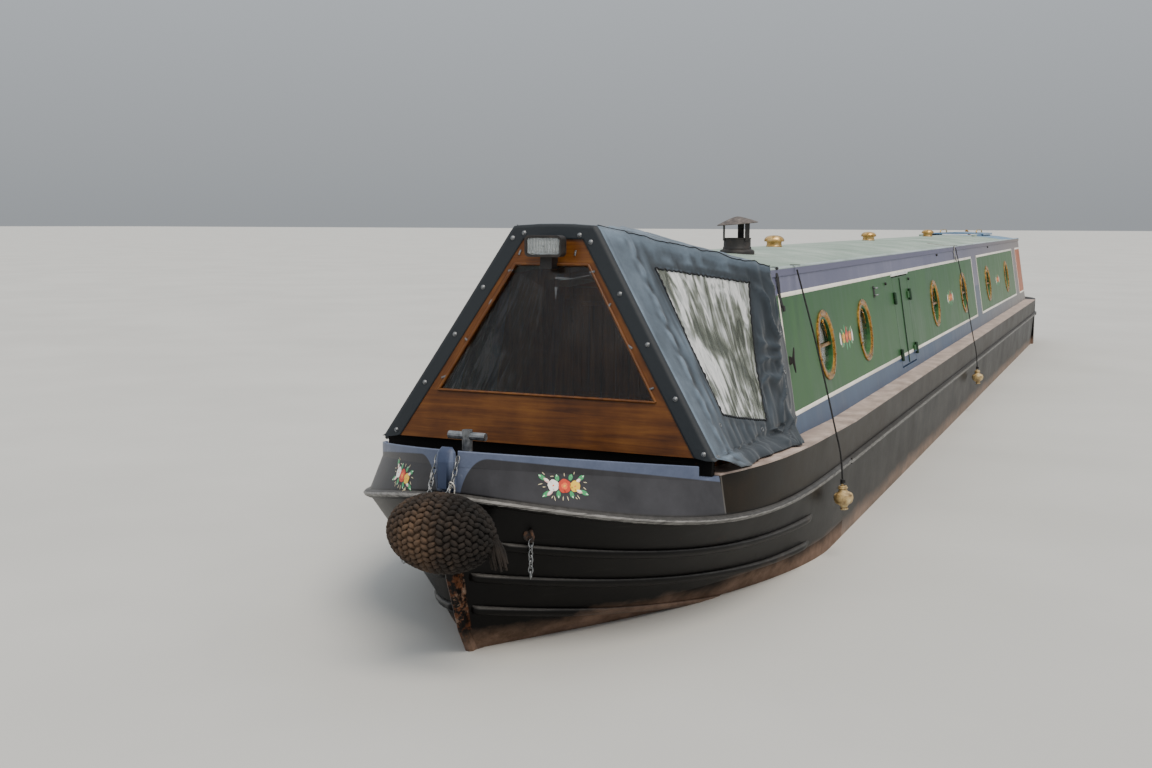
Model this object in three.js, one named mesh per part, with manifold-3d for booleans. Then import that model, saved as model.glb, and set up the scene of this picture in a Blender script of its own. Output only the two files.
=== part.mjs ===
// A 55 ft traditional narrowboat, in millimetres.
// X runs forward from the stem at the waterline, Y to port, Z up from the underside of the base plate.
import * as THREE from "three";
import { mergeVertices } from "three/addons/utils/BufferGeometryUtils.js";
import Module from "manifold-3d";

const wasm = await Module();
wasm.setup();

// Heights above the underside of the flat bottom.
const WATERLINE = 600;
const PLATE = 12;
const WELL_DECK = 700;
const SIDE_DECK = 1256;
const SHEER_BOW = 1430;
const CABIN_TOP = 2105;
const ROOF_EDGE = 2141;
const ROOF_CAMBER = 64;
const COUNTER_BOTTOM = 572;

// Stations along the boat.
const BOW_REACH = 480;
const STERN_REACH = -16780;
const BOW_END = -2600;
const CABIN_FRONT = -1800;
const CABIN_AFT = -15450;
const SWIM_START = -12600;
const STERN_POST = -15850;
const RUDDER_X = -16330;
const CRATCH_X = -685;
const CANT_END = -620;
const GUNWALE_START = -745;

// Thicknesses and half-breadths.
const SEAT = 0.3;
const NOSE = 20;
const WALL = 60;
const HALF_BEAM = 1029;
const GUNWALE_T = 10;
const GUNWALE_INNER = 834;
const CABIN_BASE = 894;
const TUMBLEHOME = 0.1617;
const ROOF_HALF = 762;
const LIP_INNER = 726;

// The parts share one list of finishes: colour, roughness, metalness.
const FINISH = {
  blacking: [0x1b1a19, 0.6, 0.2],
  slate: [0x6f7580, 0.5, 0.1],
  taupe: [0xa39488, 0.6, 0.1],
  green: [0x5f855f, 0.5, 0.1],
  roof: [0x8f9c92, 0.8, 0.0],
  varnish: [0x8a4f2a, 0.45, 0.0],
  glass: [0xb8c4c8, 0.1, 0.0],
  canvas: [0x4b5a66, 0.7, 0.0],
  steel: [0x77787a, 0.5, 0.7],
  brass: [0xb8913f, 0.35, 0.9],
  bronze: [0x8f6b34, 0.4, 0.9],
  rope: [0x2c2622, 0.95, 0.0],
  cream: [0xd8c79c, 0.7, 0.0],
  chimney: [0x23201f, 0.7, 0.3],
  engine: [0x3d5a45, 0.6, 0.2],
  boards: [0x9a7448, 0.7, 0.0],
};

const clamp = THREE.MathUtils.clamp;
const lerp = THREE.MathUtils.lerp;

const boat = new THREE.Group();
boat.position.x = -(BOW_REACH + STERN_REACH) / 2;

// Closed solids: a bare geometry is welded, turned into a solid for a cut or a join, and back.
function toSolid(geometry) {
  const bare = new THREE.BufferGeometry();
  bare.setAttribute("position", geometry.getAttribute("position").clone());
  bare.setIndex(geometry.getIndex());
  const welded = mergeVertices(bare, 1e-3);
  return new wasm.Manifold(new wasm.Mesh({
    numProp: 3,
    vertProperties: new Float32Array(welded.getAttribute("position").array),
    triVerts: new Uint32Array(welded.getIndex().array),
  }));
}

function toGeometry(solid) {
  const mesh = solid.getMesh();
  const geometry = new THREE.BufferGeometry();
  geometry.setAttribute("position", new THREE.BufferAttribute(mesh.vertProperties, 3));
  geometry.setIndex(new THREE.BufferAttribute(mesh.triVerts, 1));
  return geometry;
}

const join = (first, ...rest) =>
  toGeometry(rest.reduce((solid, piece) => solid.add(toSolid(piece)), toSolid(first)));
const cut = (first, ...tools) =>
  toGeometry(tools.reduce((solid, tool) => solid.subtract(toSolid(tool)), toSolid(first)));

// Turns the faces outwards where the order of the points left them facing in.
function faceOut(geometry) {
  const place = geometry.getAttribute("position");
  const index = geometry.getIndex();
  const corner = (i) => new THREE.Vector3().fromBufferAttribute(place, index.getX(i));
  let volume = 0;
  for (let i = 0; i < index.count; i += 3) volume += corner(i).dot(corner(i + 1).cross(corner(i + 2)));
  if (volume < 0) {
    for (let i = 0; i < index.count; i += 3) {
      const first = index.getX(i);
      index.setX(i, index.getX(i + 1));
      index.setX(i + 1, first);
    }
  }
  return geometry;
}

// A closed skin over rings of points that have the same count, with a flat cap at each end.
function skin(rings) {
  const count = rings[0].length;
  const positions = rings.flat(2);
  const faces = [];
  for (let r = 0; r + 1 < rings.length; r++) {
    for (let i = 0; i < count; i++) {
      const a = r * count + i;
      const b = r * count + (i + 1) % count;
      faces.push(a, b, b + count, a, b + count, a + count);
    }
  }
  const last = (rings.length - 1) * count;
  for (const [a, b, c] of capFaces(rings[0])) faces.push(c, b, a);
  for (const [a, b, c] of capFaces(rings.at(-1))) faces.push(last + a, last + b, last + c);
  const geometry = new THREE.BufferGeometry();
  geometry.setAttribute("position", new THREE.Float32BufferAttribute(positions, 3));
  geometry.setIndex(faces);
  return faceOut(geometry);
}

// Triangles over one ring, worked out in the plane that the ring faces most.
function capFaces(ring) {
  const normal = [0, 0, 0];
  ring.forEach((p, i) => {
    const q = ring[(i + 1) % ring.length];
    for (let k = 0; k < 3; k++) {
      const [u, v] = [(k + 1) % 3, (k + 2) % 3];
      normal[k] += (p[u] - q[u]) * (p[v] + q[v]);
    }
  });
  const flat = normal.map(Math.abs).indexOf(Math.max(...normal.map(Math.abs)));
  const [u, v] = [(flat + 1) % 3, (flat + 2) % 3];
  const points = ring.map((p) => new THREE.Vector2(p[u], p[v]));
  const { area } = THREE.ShapeUtils;
  const turn = Math.sign(area(points));
  return THREE.ShapeUtils.triangulateShape(points, []).map((face) =>
    (Math.sign(area(face.map((i) => points[i]))) === turn ? face : [...face].reverse()));
}

const slab = (outline, low, high) => skin([low, high].map((z) => outline.map(([x, y]) => [x, y, z])));
const crossPlate = (profile, x0, x1) => skin([x0, x1].map((x) => profile.map(([y, z]) => [x, y, z])));

function box(x0, x1, y0, y1, z0, z1) {
  return new THREE.BoxGeometry(x1 - x0, y1 - y0, z1 - z0)
    .translate((x0 + x1) / 2, (y0 + y1) / 2, (z0 + z1) / 2);
}

// A round bar between two points.
function bar(from, to, radius, sides = 12) {
  const [a, b] = [new THREE.Vector3(...from), new THREE.Vector3(...to)];
  const along = b.clone().sub(a);
  const turn = new THREE.Quaternion().setFromUnitVectors(new THREE.Vector3(0, 1, 0), along.clone().normalize());
  const middle = a.add(b).multiplyScalar(0.5);
  return new THREE.CylinderGeometry(radius, radius, along.length(), sides)
    .applyQuaternion(turn)
    .translate(middle.x, middle.y, middle.z);
}

// A round bar along a smooth path.
function tube(points, radius, steps, sides = 8) {
  const section = new THREE.Shape();
  for (let i = 0; i <= sides; i++) {
    const turn = (i / sides) * 2 * Math.PI;
    const point = [radius * Math.cos(turn), radius * Math.sin(turn)];
    if (i === 0) section.moveTo(...point);
    else section.lineTo(...point);
  }
  const path = new THREE.CatmullRomCurve3(points.map((p) => new THREE.Vector3(...p)));
  return new THREE.ExtrudeGeometry(section, { steps, extrudePath: path });
}

// A turned piece: profile rows are [radius, height], standing on the Z axis and then moved.
function turned(profile, x, y, z, sides = 24) {
  return new THREE.LatheGeometry(profile.map(([r, h]) => new THREE.Vector2(r, h)), sides)
    .rotateX(Math.PI / 2)
    .translate(x, y, z);
}

function add(name, geometry, finish) {
  const bare = new THREE.BufferGeometry();
  bare.setAttribute("position", geometry.getAttribute("position").clone());
  bare.setIndex(geometry.getIndex());
  const solid = faceOut(mergeVertices(bare, 1e-3));
  const [color, roughness, metalness] = FINISH[finish];
  const mesh = new THREE.Mesh(solid, new THREE.MeshStandardMaterial({ color, roughness, metalness }));
  mesh.name = name;
  boat.add(mesh);
}

const SIDES = [["port", 1], ["starboard", -1]];

// The hull's lines. The top strake sweeps up to the stem, and the plan fills out from a fine
// entry below to a round shoulder at the strake.
const swoop = (low, rise, start, power) => (x) =>
  low + rise * clamp((x - start) / (180 - start), 0, 1) ** power;
const strakeHeight = swoop(1044, 247, -2349, 3.72);
const lowerStrakes = [
  swoop(869, 273, -1921, 2.39),
  swoop(721, 270, -1500, 1.7),
  swoop(559, 291, -1423, 1.56),
];

function sheer(x) {
  if (x > CANT_END) return lerp(SIDE_DECK + 34, SHEER_BOW, (x - CANT_END) / (160 - CANT_END));
  return SIDE_DECK + 34 * clamp((x + 2750) / 1250, 0, 1);
}

const stemX = (z) => 180 - 730 * clamp(1 - z / 1100, 0, 1) ** 1.78;

// Plan shapes, each with the length of its entry, two powers and the half-breadth: near the
// bottom, where the low entry leads to, along the top strake and along the sheer.
const PLAN_LOW = { reach: 2566, p: 1.36, q: 0.85, half: 978 };
const PLAN_SHOULDER = { reach: 1881, p: 2.21, q: 1.325, half: 1024 };
const PLAN_STRAKE = { reach: 3200, p: 5.17, q: 1.507, half: 1024 };
const PLAN_SHEER = { reach: 1803, p: 2.307, q: 1.379, half: 1029 };

const breadthOf = ({ reach, p, q, half }, x, nose) =>
  half * (1 - clamp((x + reach) / (nose + reach), 0, 1) ** p) ** (1 / q);

function lowBreadth(x, z) {
  const k = (clamp(z / strakeHeight(x), 0.3, 1) - 0.3) / 0.7;
  const plan = Object.fromEntries(Object.keys(PLAN_LOW).map((name) =>
    [name, lerp(PLAN_LOW[name], PLAN_SHOULDER[name], k)]));
  return breadthOf(plan, x, stemX(z));
}

// Fine up to the waterline, flared from there to the strake, and falling in above the strake.
function halfBreadth(x, z) {
  const strake = strakeHeight(x);
  if (z <= WATERLINE) return lowBreadth(x, z);
  if (z <= strake) {
    const fromStem = stemX(z) - x;
    const low = lowBreadth(stemX(WATERLINE) - fromStem, WATERLINE);
    return lerp(low, breadthOf(PLAN_STRAKE, 180 - fromStem, 180), (z - WATERLINE) / (strake - WATERLINE));
  }
  const k = clamp((z - strake) / (sheer(x) - GUNWALE_T - strake), 0, 1);
  return lerp(breadthOf(PLAN_STRAKE, x, 180), breadthOf(PLAN_SHEER, x, 180), k);
}

// Where the side is a given distance from the centreline.
function noseX(z, y = NOSE) {
  let [aft, fore] = [stemX(z) - 900, stemX(z)];
  for (let i = 0; i < 40; i++) {
    const middle = (aft + fore) / 2;
    if (halfBreadth(middle, z) > y) aft = middle;
    else fore = middle;
  }
  return fore;
}

// One vertical row of hull points, s = 0 at the stem and 1 where the sides run parallel.
const ROW_COUNT = 14;
const ROW_POWER = 1.7;
const LOW_LEVELS = [PLATE, 300, WATERLINE, WELL_DECK];

function rowX(noseAt, s) {
  const nose = noseX(noseAt);
  return nose - (nose - BOW_END) * s ** ROW_POWER;
}

function hullRow(s) {
  const low = LOW_LEVELS.map((z) => [rowX(z, s), z]);
  const strakeX = rowX(strakeHeight(180), s);
  const topX = rowX(SHEER_BOW, s);
  const levels = [...low, [strakeX, strakeHeight(strakeX)], [topX, sheer(topX) - GUNWALE_T]];
  return levels.map(([x, z]) => [x, Math.max(NOSE, halfBreadth(x, z)), z]);
}

// The point of the hull's flat-faced skin at a height, moved off it along the plan's normal.
function skinPoint(s, z, off) {
  const at = (t) => {
    const row = hullRow(t);
    let j = 0;
    while (j + 2 < row.length && row[j + 1][2] < z) j++;
    const k = (z - row[j][2]) / (row[j + 1][2] - row[j][2]);
    return row[j].map((value, axis) => lerp(value, row[j + 1][axis], k));
  };
  const point = at(s);
  const [a, b] = [at(Math.max(s - 0.02, 0)), at(s + 0.02)];
  const length = Math.hypot(b[0] - a[0], b[1] - a[1]);
  return [point[0] + off * (b[1] - a[1]) / length, point[1] - off * (b[0] - a[0]) / length, z];
}

const rowSteps = Array.from({ length: ROW_COUNT + 1 }, (_, i) => i / ROW_COUNT);
const mirror = (points, side) => points.map(([x, y, z]) => [x, y * side, z]);

// Bottom plate, with the skeg that carries the foot of the rudder.
function swimHalf(x, inset = 0) {
  const u = clamp((SWIM_START - x) / (SWIM_START - STERN_POST), 0, 1);
  return NOSE + (HALF_BEAM - NOSE) * (1 - u ** 1.7) - inset;
}

const swimX = Array.from({ length: 9 }, (_, i) => lerp(SWIM_START - 1, STERN_POST, i / 8));
const bottomHalf = [
  ...rowSteps.map((s) => hullRow(s)[0]).map(([x, y]) => [x, y + 8]),
  [SWIM_START, PLAN_LOW.half + 8],
  ...swimX.slice(1).map((x) => [x, Math.min(swimHalf(x), PLAN_LOW.half) + 8]),
];
const bottomOutline = [
  ...bottomHalf,
  [STERN_POST - 100, 28],
  [STERN_POST - 100, -28],
  ...bottomHalf.map(([x, y]) => [x, -y]).reverse(),
];
const skeg = box(RUDDER_X - 70, STERN_POST - 82, -38, 38, 0, 30);
add("base_plate", join(slab(bottomOutline, 0, PLATE), skeg), "blacking");

// A rubbing strake: a low rounded bar that follows a height line on the hull.
function strakeRings(height, halfDepth, proud, back, from = 0, to = 1) {
  const profile = [[-halfDepth, back], [-halfDepth * 0.8, proud], [halfDepth * 0.8, proud], [halfDepth, back]];
  return rowSteps.filter((s) => s >= from && s <= to).map((s) => {
    const x = rowX(strakeHeight(180), s);
    return profile.map(([dz, off]) => skinPoint(s, height(x) + dz, off));
  });
}

// Fore hull: solid up to the well deck, with the lowest strake where it runs below that deck.
const foreRings = LOW_LEVELS.map((_, level) => {
  const half = rowSteps.map((s) => hullRow(s)[level]);
  return [...half, ...mirror(half, -1).reverse()];
});
const aboveWell = box(-4000, 1000, -1500, 1500, WELL_DECK, 3000);
const belowWell = box(-4000, 1000, -1500, 1500, -500, WELL_DECK);
const STRAKE_END = 0.82;
const lowStrake = (side) => skin(strakeRings(lowerStrakes[2], 20, 16, -26, 0.1, STRAKE_END)
  .map((ring) => mirror(ring, side)));
add("fore_hull", join(skin(foreRings), ...SIDES.map(([, side]) => cut(lowStrake(side), aboveWell))), "blacking");

// Fore topsides: plate from the well deck to the sheer, the lower strakes, and the painted cant
// that stands above the fore deck.
function topsideRing(s) {
  const row = hullRow(s).slice(3);
  const inner = [row.at(-1)[2], WELL_DECK].map((z) => {
    const [x, y] = skinPoint(s, z, -WALL);
    return [Math.max(x, BOW_END), Math.max(y, NOSE), z];
  });
  return [...row, ...inner];
}

const CANT_HEIGHT = 48;
function cantRing(s) {
  const x = rowX(SHEER_BOW, s);
  const low = sheer(x) - GUNWALE_T - 6;
  const high = sheer(x) + CANT_HEIGHT;
  const [outer, inner] = [1.5, -14].map((off) => skinPoint(s, sheer(x) - GUNWALE_T - 1, off));
  return [[...outer.slice(0, 2), low], [...outer.slice(0, 2), high],
    [...inner.slice(0, 2), high], [...inner.slice(0, 2), low]];
}
const STRAKE = [[-20, -14], [-16, 24], [16, 24], [20, -14]];
function topStrakeRing(s) {
  const z = strakeHeight(rowX(strakeHeight(180), s));
  return STRAKE.map(([dz, off]) => skinPoint(s, z + dz, s === 0 ? Math.max(off, 1) : off));
}
const cantAt = (x) => ((noseX(SHEER_BOW) - x) / (noseX(SHEER_BOW) - BOW_END)) ** (1 / ROW_POWER);
const cantFirst = cantAt(noseX(SHEER_BOW, 43));
const cantSteps = rowSteps.filter((s) => s > cantFirst + 0.02 && rowX(SHEER_BOW, s) > CANT_END);

for (const [name, side] of SIDES) {
  const plate = skin(rowSteps.map((s) => mirror(topsideRing(s), side)));
  const strakes = lowerStrakes.slice(0, 2).map((height) =>
    skin(strakeRings(height, 20, 16, -26, 0.1, STRAKE_END).map((ring) => mirror(ring, side))));
  const cant = skin([cantFirst, ...cantSteps, cantAt(CANT_END)].map((s) => mirror(cantRing(s), side)));
  const topStrake = skin(rowSteps.map((s) => mirror(topStrakeRing(s), side)));
  add(`fore_topside_${name}`, join(plate, topStrake, ...strakes, cut(lowStrake(side), belowWell), cant), "blacking");
}

// Stem bar from the bottom to the sheer, and the painted stem head with its rounded top.
const STEM_ROWS = [
  // height, half-width, forward of the stem line
  [PLATE, 19.5, 8], [300, 19.5, 14], [WATERLINE, 19.5, 18], [WELL_DECK, 19.5, 20], [955, 19.5, 20],
  [1100, 19.5, 20], [1307, 19.5, 20], [1331, 19.5, 22], [1333, 40, 44], [1440, 40, 42], [1475, 36, 32], [1495, 22, 14],
];
const stemRings = STEM_ROWS.map(([z, half, ahead]) => {
  const back = skinPoint(0, z, 0)[0] + SEAT;
  const front = stemX(z) + ahead;
  const chamfer = Math.min(half, front - back) * 0.5;
  return [[back, -half, z], [front - chamfer, -half, z], [front, -half + chamfer, z],
    [front, half - chamfer, z], [front - chamfer, half, z], [back, half, z]];
});
add("stem_post", skin(stemRings), "blacking");

// Hull sides of the parallel body. Over the swim they stop at the counter plate.
const sideProfile = [PLATE, WATERLINE, 1044, SIDE_DECK - GUNWALE_T].map((z) => [halfBreadth(BOW_END, z), z]);
function sideRing(x, bottom) {
  const outer = sideProfile.map(([y, z]) => [x, y, Math.max(z, bottom)]);
  outer[0][1] = Math.max(outer[0][1], lerp(978, 996, clamp(bottom / WATERLINE, 0, 1)));
  return [...outer, [x, outer[3][1] - WALL, outer[3][2]], [x, outer[0][1] - WALL, outer[0][2]]];
}
const uxter = COUNTER_BOTTOM + 8;
for (const [name, side] of SIDES) {
  const rings = [[BOW_END - SEAT, PLATE], [SWIM_START, PLATE], [SWIM_START - 1, uxter], [CABIN_AFT, uxter]]
    .map(([x, bottom]) => mirror(sideRing(x, bottom), side));
  const strake = [BOW_END - SEAT, CABIN_AFT].map((x) =>
    STRAKE.map(([dz, off]) => [x, (sideProfile[2][0] + off) * side, sideProfile[2][1] + dz]));
  add(`hull_side_${name}`, join(skin(rings), skin(strake)), "blacking");
}

// The swim: below the counter plate the sides draw in to the stern post.
const SWIM_WALL = 30;
for (const [name, side] of SIDES) {
  const rings = swimX.map((x) => mirror([
    [x, Math.min(swimHalf(x), 976), PLATE], [x, Math.min(swimHalf(x), 994), COUNTER_BOTTOM],
    [x, Math.max(Math.min(swimHalf(x), 994) - SWIM_WALL, 3), COUNTER_BOTTOM],
    [x, Math.max(Math.min(swimHalf(x), 976) - SWIM_WALL, 3), PLATE],
  ], side));
  add(`swim_${name}`, skin(rings), "blacking");
}

// Flat counter plates close the overhang between each swim and the hull side above it.
for (const [name, side] of SIDES) {
  const inner = swimX.filter((x) => x > CABIN_AFT).map((x) => [x, Math.min(swimHalf(x), 994) - SWIM_WALL]);
  const outline = [...inner, [CABIN_AFT, swimHalf(CABIN_AFT) - SWIM_WALL], [CABIN_AFT, 994], [SWIM_START - 1, 994]];
  add(`counter_plate_${name}`, slab(outline.map(([x, y]) => [x, y * side]), COUNTER_BOTTOM, uxter), "blacking");
}

// Counter: decked, round at the stern, with the rudder tube through it.
const COUNTER_POWER = 2.4;
function counterPoint(turn, off = 0) {
  const length = CABIN_AFT + 16560;
  const [c, s] = [Math.cos(turn), Math.sin(turn)];
  const x = CABIN_AFT - length * s ** (2 / COUNTER_POWER);
  const y = HALF_BEAM * c ** (2 / COUNTER_POWER);
  return [x - off * s, y + off * c];
}
const counterTurns = Array.from({ length: 13 }, (_, i) => (i / 12) * (Math.PI / 2));
const counterHalf = counterTurns.slice(0, -1).map((turn) => counterPoint(turn)).map(([x, y]) => [x - 0.5, y]);
const counterOutline = [...counterHalf, [-16560.5, 0], ...counterHalf.map(([x, y]) => [x, -y]).reverse()];
const STOCK = 25;
const rudderTube = bar([RUDDER_X, 0, 400], [RUDDER_X, 0, 1500], STOCK + 0.8, 24);
const counterStrake = counterTurns.map((turn) => STRAKE.map(([dz, off]) => {
  const [x, y] = counterPoint(turn, off);
  return [x - 0.5, y, strakeHeight(CABIN_AFT) + dz];
}));
const counterRings = [...counterStrake, ...counterStrake.slice(0, -1).map((ring) => mirror(ring, -1)).reverse()];
const dolly = [[0, -5], [75, -5], [75, 8], [32, 12], [28, 60], [32, 95], [48, 105], [48, 120], [20, 130], [0, 130]];
const dollies = SIDES.map(([, side]) => turned(dolly, -16100, side * 700, SIDE_DECK, 20));
add("counter", cut(join(slab(counterOutline, COUNTER_BOTTOM, SIDE_DECK), skin(counterRings), ...dollies),
  rudderTube), "blacking");

// Stern post with the stern tube.
const SHAFT_Z = 300;
const sternTube = bar([STERN_POST + 90, 0, SHAFT_Z], [STERN_POST - 95, 0, SHAFT_Z], 45, 24);
const sternBore = bar([STERN_POST + 200, 0, SHAFT_Z], [STERN_POST - 200, 0, SHAFT_Z], 20.5, 24);
const sternPost = box(STERN_POST - 80, STERN_POST - SEAT, -28, 28, PLATE, COUNTER_BOTTOM);
const postTube = cut(sternTube, box(STERN_POST - SEAT, 0, -100, 100, 0, 900));
add("stern_post", cut(join(sternPost, postTube), sternBore), "blacking");

// Gunwales: the side decks beside the cabin and the well.
function gunwaleRing(x) {
  const outer = halfBreadth(x, sheer(x)) + 3;
  const inner = Math.min(GUNWALE_INNER, outer - 130);
  const under = sheer(x) - GUNWALE_T + 0.6;
  return [[x, outer, under], [x, outer, sheer(x)], [x, inner, sheer(x)], [x, inner, under]];
}
for (const [name, side] of SIDES) {
  const stations = [GUNWALE_START, -900, -1100, -1300, -1500, -1700, CABIN_FRONT + 20, -2100, -2750, CABIN_AFT];
  add(`gunwale_${name}`, skin(stations.map((x) => mirror(gunwaleRing(x), side))), "taupe");
}

// Fore deck with its locker opening, the lid over it, and the bulkhead behind.
const BULKHEAD = { fore: -700, aft: -740, top: 1360 };
const deckTop = (x) => sheer(x) - 14;
const DECK_T = 8;
const deckStations = [160, 108, 80, 40, 0, -60, -120, -200, -300, -400, -500, CANT_END, BULKHEAD.fore + SEAT];
function insideHalf(x, z) {
  const [low, high] = [WELL_DECK, sheer(x) - GUNWALE_T].map((level) => {
    const slope = (halfBreadth(x + 5, level) - halfBreadth(x - 5, level)) / 10;
    return halfBreadth(x, level) - (WALL + 8) * Math.hypot(1, slope) - 6;
  });
  return Math.max(lerp(low, high, (z - WELL_DECK) / (sheer(x) - GUNWALE_T - WELL_DECK)), NOSE - SEAT);
}
const wallLine = rowSteps.map((s) => skinPoint(s, hullRow(s).at(-1)[2], -WALL));
function deckHalf(x) {
  const i = Math.max(wallLine.findIndex((point) => point[0] < x), 1);
  const [fore, aft] = [wallLine[i - 1], wallLine[i]];
  const y = lerp(fore[1], aft[1], clamp((fore[0] - x) / (fore[0] - aft[0]), 0, 1));
  return Math.max(y - 16, NOSE - SEAT);
}
const deckRings = deckStations.map((x) => [
  [x, -deckHalf(x), deckTop(x)], [x, deckHalf(x), deckTop(x)],
  [x, deckHalf(x), deckTop(x) - DECK_T], [x, -deckHalf(x), deckTop(x) - DECK_T],
]);
const LOCKER = { fore: -160, aft: -550, half: 190 };
const lockerHole = box(LOCKER.aft, LOCKER.fore, -LOCKER.half, LOCKER.half, 1000, 1600);
add("fore_deck", cut(skin(deckRings), lockerHole), "blacking");

const lidRings = [LOCKER.fore + 25, LOCKER.aft - 20].map((x) => {
  const [low, high, half] = [deckTop(x) + SEAT, deckTop(x) + 8, LOCKER.half + 25];
  return [[x, -half, low], [x, half, low], [x, half, high], [x, -half, high]];
});
const LID_AXIS = { x: LOCKER.aft - 30, z: deckTop(LOCKER.aft - 30) + 9.6 };
const lidBarrels = [-1, 1].flatMap((side) => [
  bar([LID_AXIS.x, side * 90, LID_AXIS.z], [LID_AXIS.x, side * 150, LID_AXIS.z], 8),
  box(LID_AXIS.x, LID_AXIS.x + 40, side * 120 - 25, side * 120 + 25, LID_AXIS.z - 1, LID_AXIS.z + 4),
]);
add("gas_locker_lid", join(skin(lidRings), ...lidBarrels), "blacking");

const bulkheadHalf = [
  ...[WELL_DECK, 1280.6].map((z) => [insideHalf(BULKHEAD.fore, z), z]),
  [halfBreadth(BULKHEAD.fore, 1280) - 4, 1280.6],
  [halfBreadth(BULKHEAD.fore, 1280) - 4, BULKHEAD.top],
];
const acrossBoat = (half) => [...half, ...half.map(([y, z]) => [-y, z]).reverse()];
add("fore_bulkhead", crossPlate(acrossBoat(bulkheadHalf), BULKHEAD.fore, BULKHEAD.aft), "blacking");

// Tee stud on the fore deck.
const studRing = (x0, r, z) => Array.from({ length: 12 }, (_, i) => {
  const turn = (i / 12) * 2 * Math.PI;
  const x = x0 + r * Math.cos(turn);
  return [x, r * Math.sin(turn), z ?? deckTop(x) + SEAT];
});
const STUD_X = 10;
const studTop = deckTop(STUD_X) + 150;
const studPost = skin([studRing(STUD_X, 22), studRing(STUD_X, 22, studTop)]);
const studBar = bar([STUD_X, -85, studTop - 25], [STUD_X, 85, studTop - 25], 17);
add("tee_stud", join(studPost, studBar), "steel");

// Cratch: a leaning glazed board behind the fore deck, the plank to the roof, and the lamp.
const CRATCH = { base: BULKHEAD.top + SEAT, height: 1000, baseHalf: 830, topHalf: 200, lean: 0.155, t: 35 };
const cratchWindow = [[-186, 832], [186, 832], [552, 230], [-552, 230]];
const onCratch = (geometry) => geometry.applyMatrix4(new THREE.Matrix4().set(
  0, -CRATCH.lean, -1, CRATCH_X,
  1, 0, 0, 0,
  0, 1, 0, CRATCH.base,
  0, 0, 0, 1,
));
const shapeOf = (points) => new THREE.Shape(points.map(([u, v]) => new THREE.Vector2(u, v)));
const cratchShape = shapeOf([[-CRATCH.baseHalf, 0], [CRATCH.baseHalf, 0],
  [CRATCH.topHalf, CRATCH.height], [-CRATCH.topHalf, CRATCH.height]]);
cratchShape.holes.push(shapeOf(cratchWindow));
const plain = (depth) => ({ depth, bevelEnabled: false, curveSegments: 12 });
add("cratch_board", onCratch(indexed(new THREE.ExtrudeGeometry(cratchShape, plain(CRATCH.t)))), "varnish");
const paneShape = shapeOf([[-186 + 0.5, 831.6], [186 - 0.5, 831.6], [552 - 0.8, 230.4], [-552 + 0.8, 230.4]]);
const pane = new THREE.ExtrudeGeometry(paneShape, plain(6)).translate(0, 0, 15);
add("cratch_glass", onCratch(indexed(pane)), "glass");

function indexed(geometry) {
  const bare = new THREE.BufferGeometry();
  bare.setAttribute("position", geometry.getAttribute("position").clone());
  return mergeVertices(bare, 1e-3);
}

const cratchFace = (z) => CRATCH_X - CRATCH.lean * (z - CRATCH.base);
const PLANK = { half: 90, t: 26, fore: cratchFace(2326) - CRATCH.t - 1, foreZ: 2300, roofZ: ROOF_EDGE + ROOF_CAMBER + 0.4 };
const plankRings = [[PLANK.fore, PLANK.foreZ], [CABIN_FRONT + 30, PLANK.roofZ], [CABIN_FRONT - 60, PLANK.roofZ]]
  .map(([x, z]) => [[x, -PLANK.half, z], [x, PLANK.half, z], [x, PLANK.half, z + PLANK.t], [x, -PLANK.half, z + PLANK.t]]);
add("cratch_plank", skin(plankRings), "varnish");

const LAMP = { y: 0, z: 2277, halfWide: 93, halfHigh: 49, depth: 78 };
const lampFace = cratchFace(LAMP.z);
const lampRing = (x, y, z) => [[x, LAMP.y - y, LAMP.z - z], [x, LAMP.y + y, LAMP.z - z],
  [x, LAMP.y + y, LAMP.z + z], [x, LAMP.y - y, LAMP.z + z]];
const lampBody = skin([lampRing(lampFace + 30 + LAMP.depth, LAMP.halfWide, LAMP.halfHigh),
  lampRing(lampFace + 60, LAMP.halfWide, LAMP.halfHigh), lampRing(lampFace + 30, 60, 34)]);
const lampFoot = box(lampFace + 2.5, lampFace + 45, LAMP.y - 12, LAMP.y + 12, LAMP.z - 12, LAMP.z + 12);
add("headlamp", join(lampBody, lampFoot), "chimney");

// Cratch cover: one canvas skin from the board to the cabin, over the well deck.
const COVER_T = 10;
const coverFront = [[838, 1300], [826, 1362], [512, 1862], [203, 2362], [100, 2368], [0, 2370]]
  .map(([y, z]) => [cratchFace(z) - CRATCH.t - 1, y, z]);
const coverBack = [[889, 1300], [876, 1390], [818, 1740], [767, 2158], [560, 2178], [400, 2192], [95, 2238], [0, 2240]];
const coverFrontFull = [coverFront[0], coverFront[1], coverFront[2], coverFront[3],
  [coverFront[3][0], 170, 2364], [coverFront[4][0], 100, 2368], [coverFront[4][0], 95, 2369], coverFront[5]];
const coverRings = [0, 0.5, 1, 2].map((k) => {
  const near = coverBack.map(([y, z], i) => {
    const x = k > 1 ? CABIN_FRONT - 160 : CABIN_FRONT + 10;
    const blend = Math.min(k, 1);
    return coverFrontFull[i].map((value, axis) => lerp(value, [x, y, z][axis], blend));
  });
  const inner = [...near, ...mirror(near.slice(0, -1), -1).reverse()];
  const outer = inner.map(([x, y, z], i) => {
    const side = Math.sign(y) || 0;
    const top = i > 2 && i < inner.length - 3;
    return [x, y + side * (top ? 2 : COVER_T), z + (top ? COVER_T : 0)];
  });
  return [...outer, ...inner.reverse()];
});
add("cratch_cover", skin(coverRings), "canvas");

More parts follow.
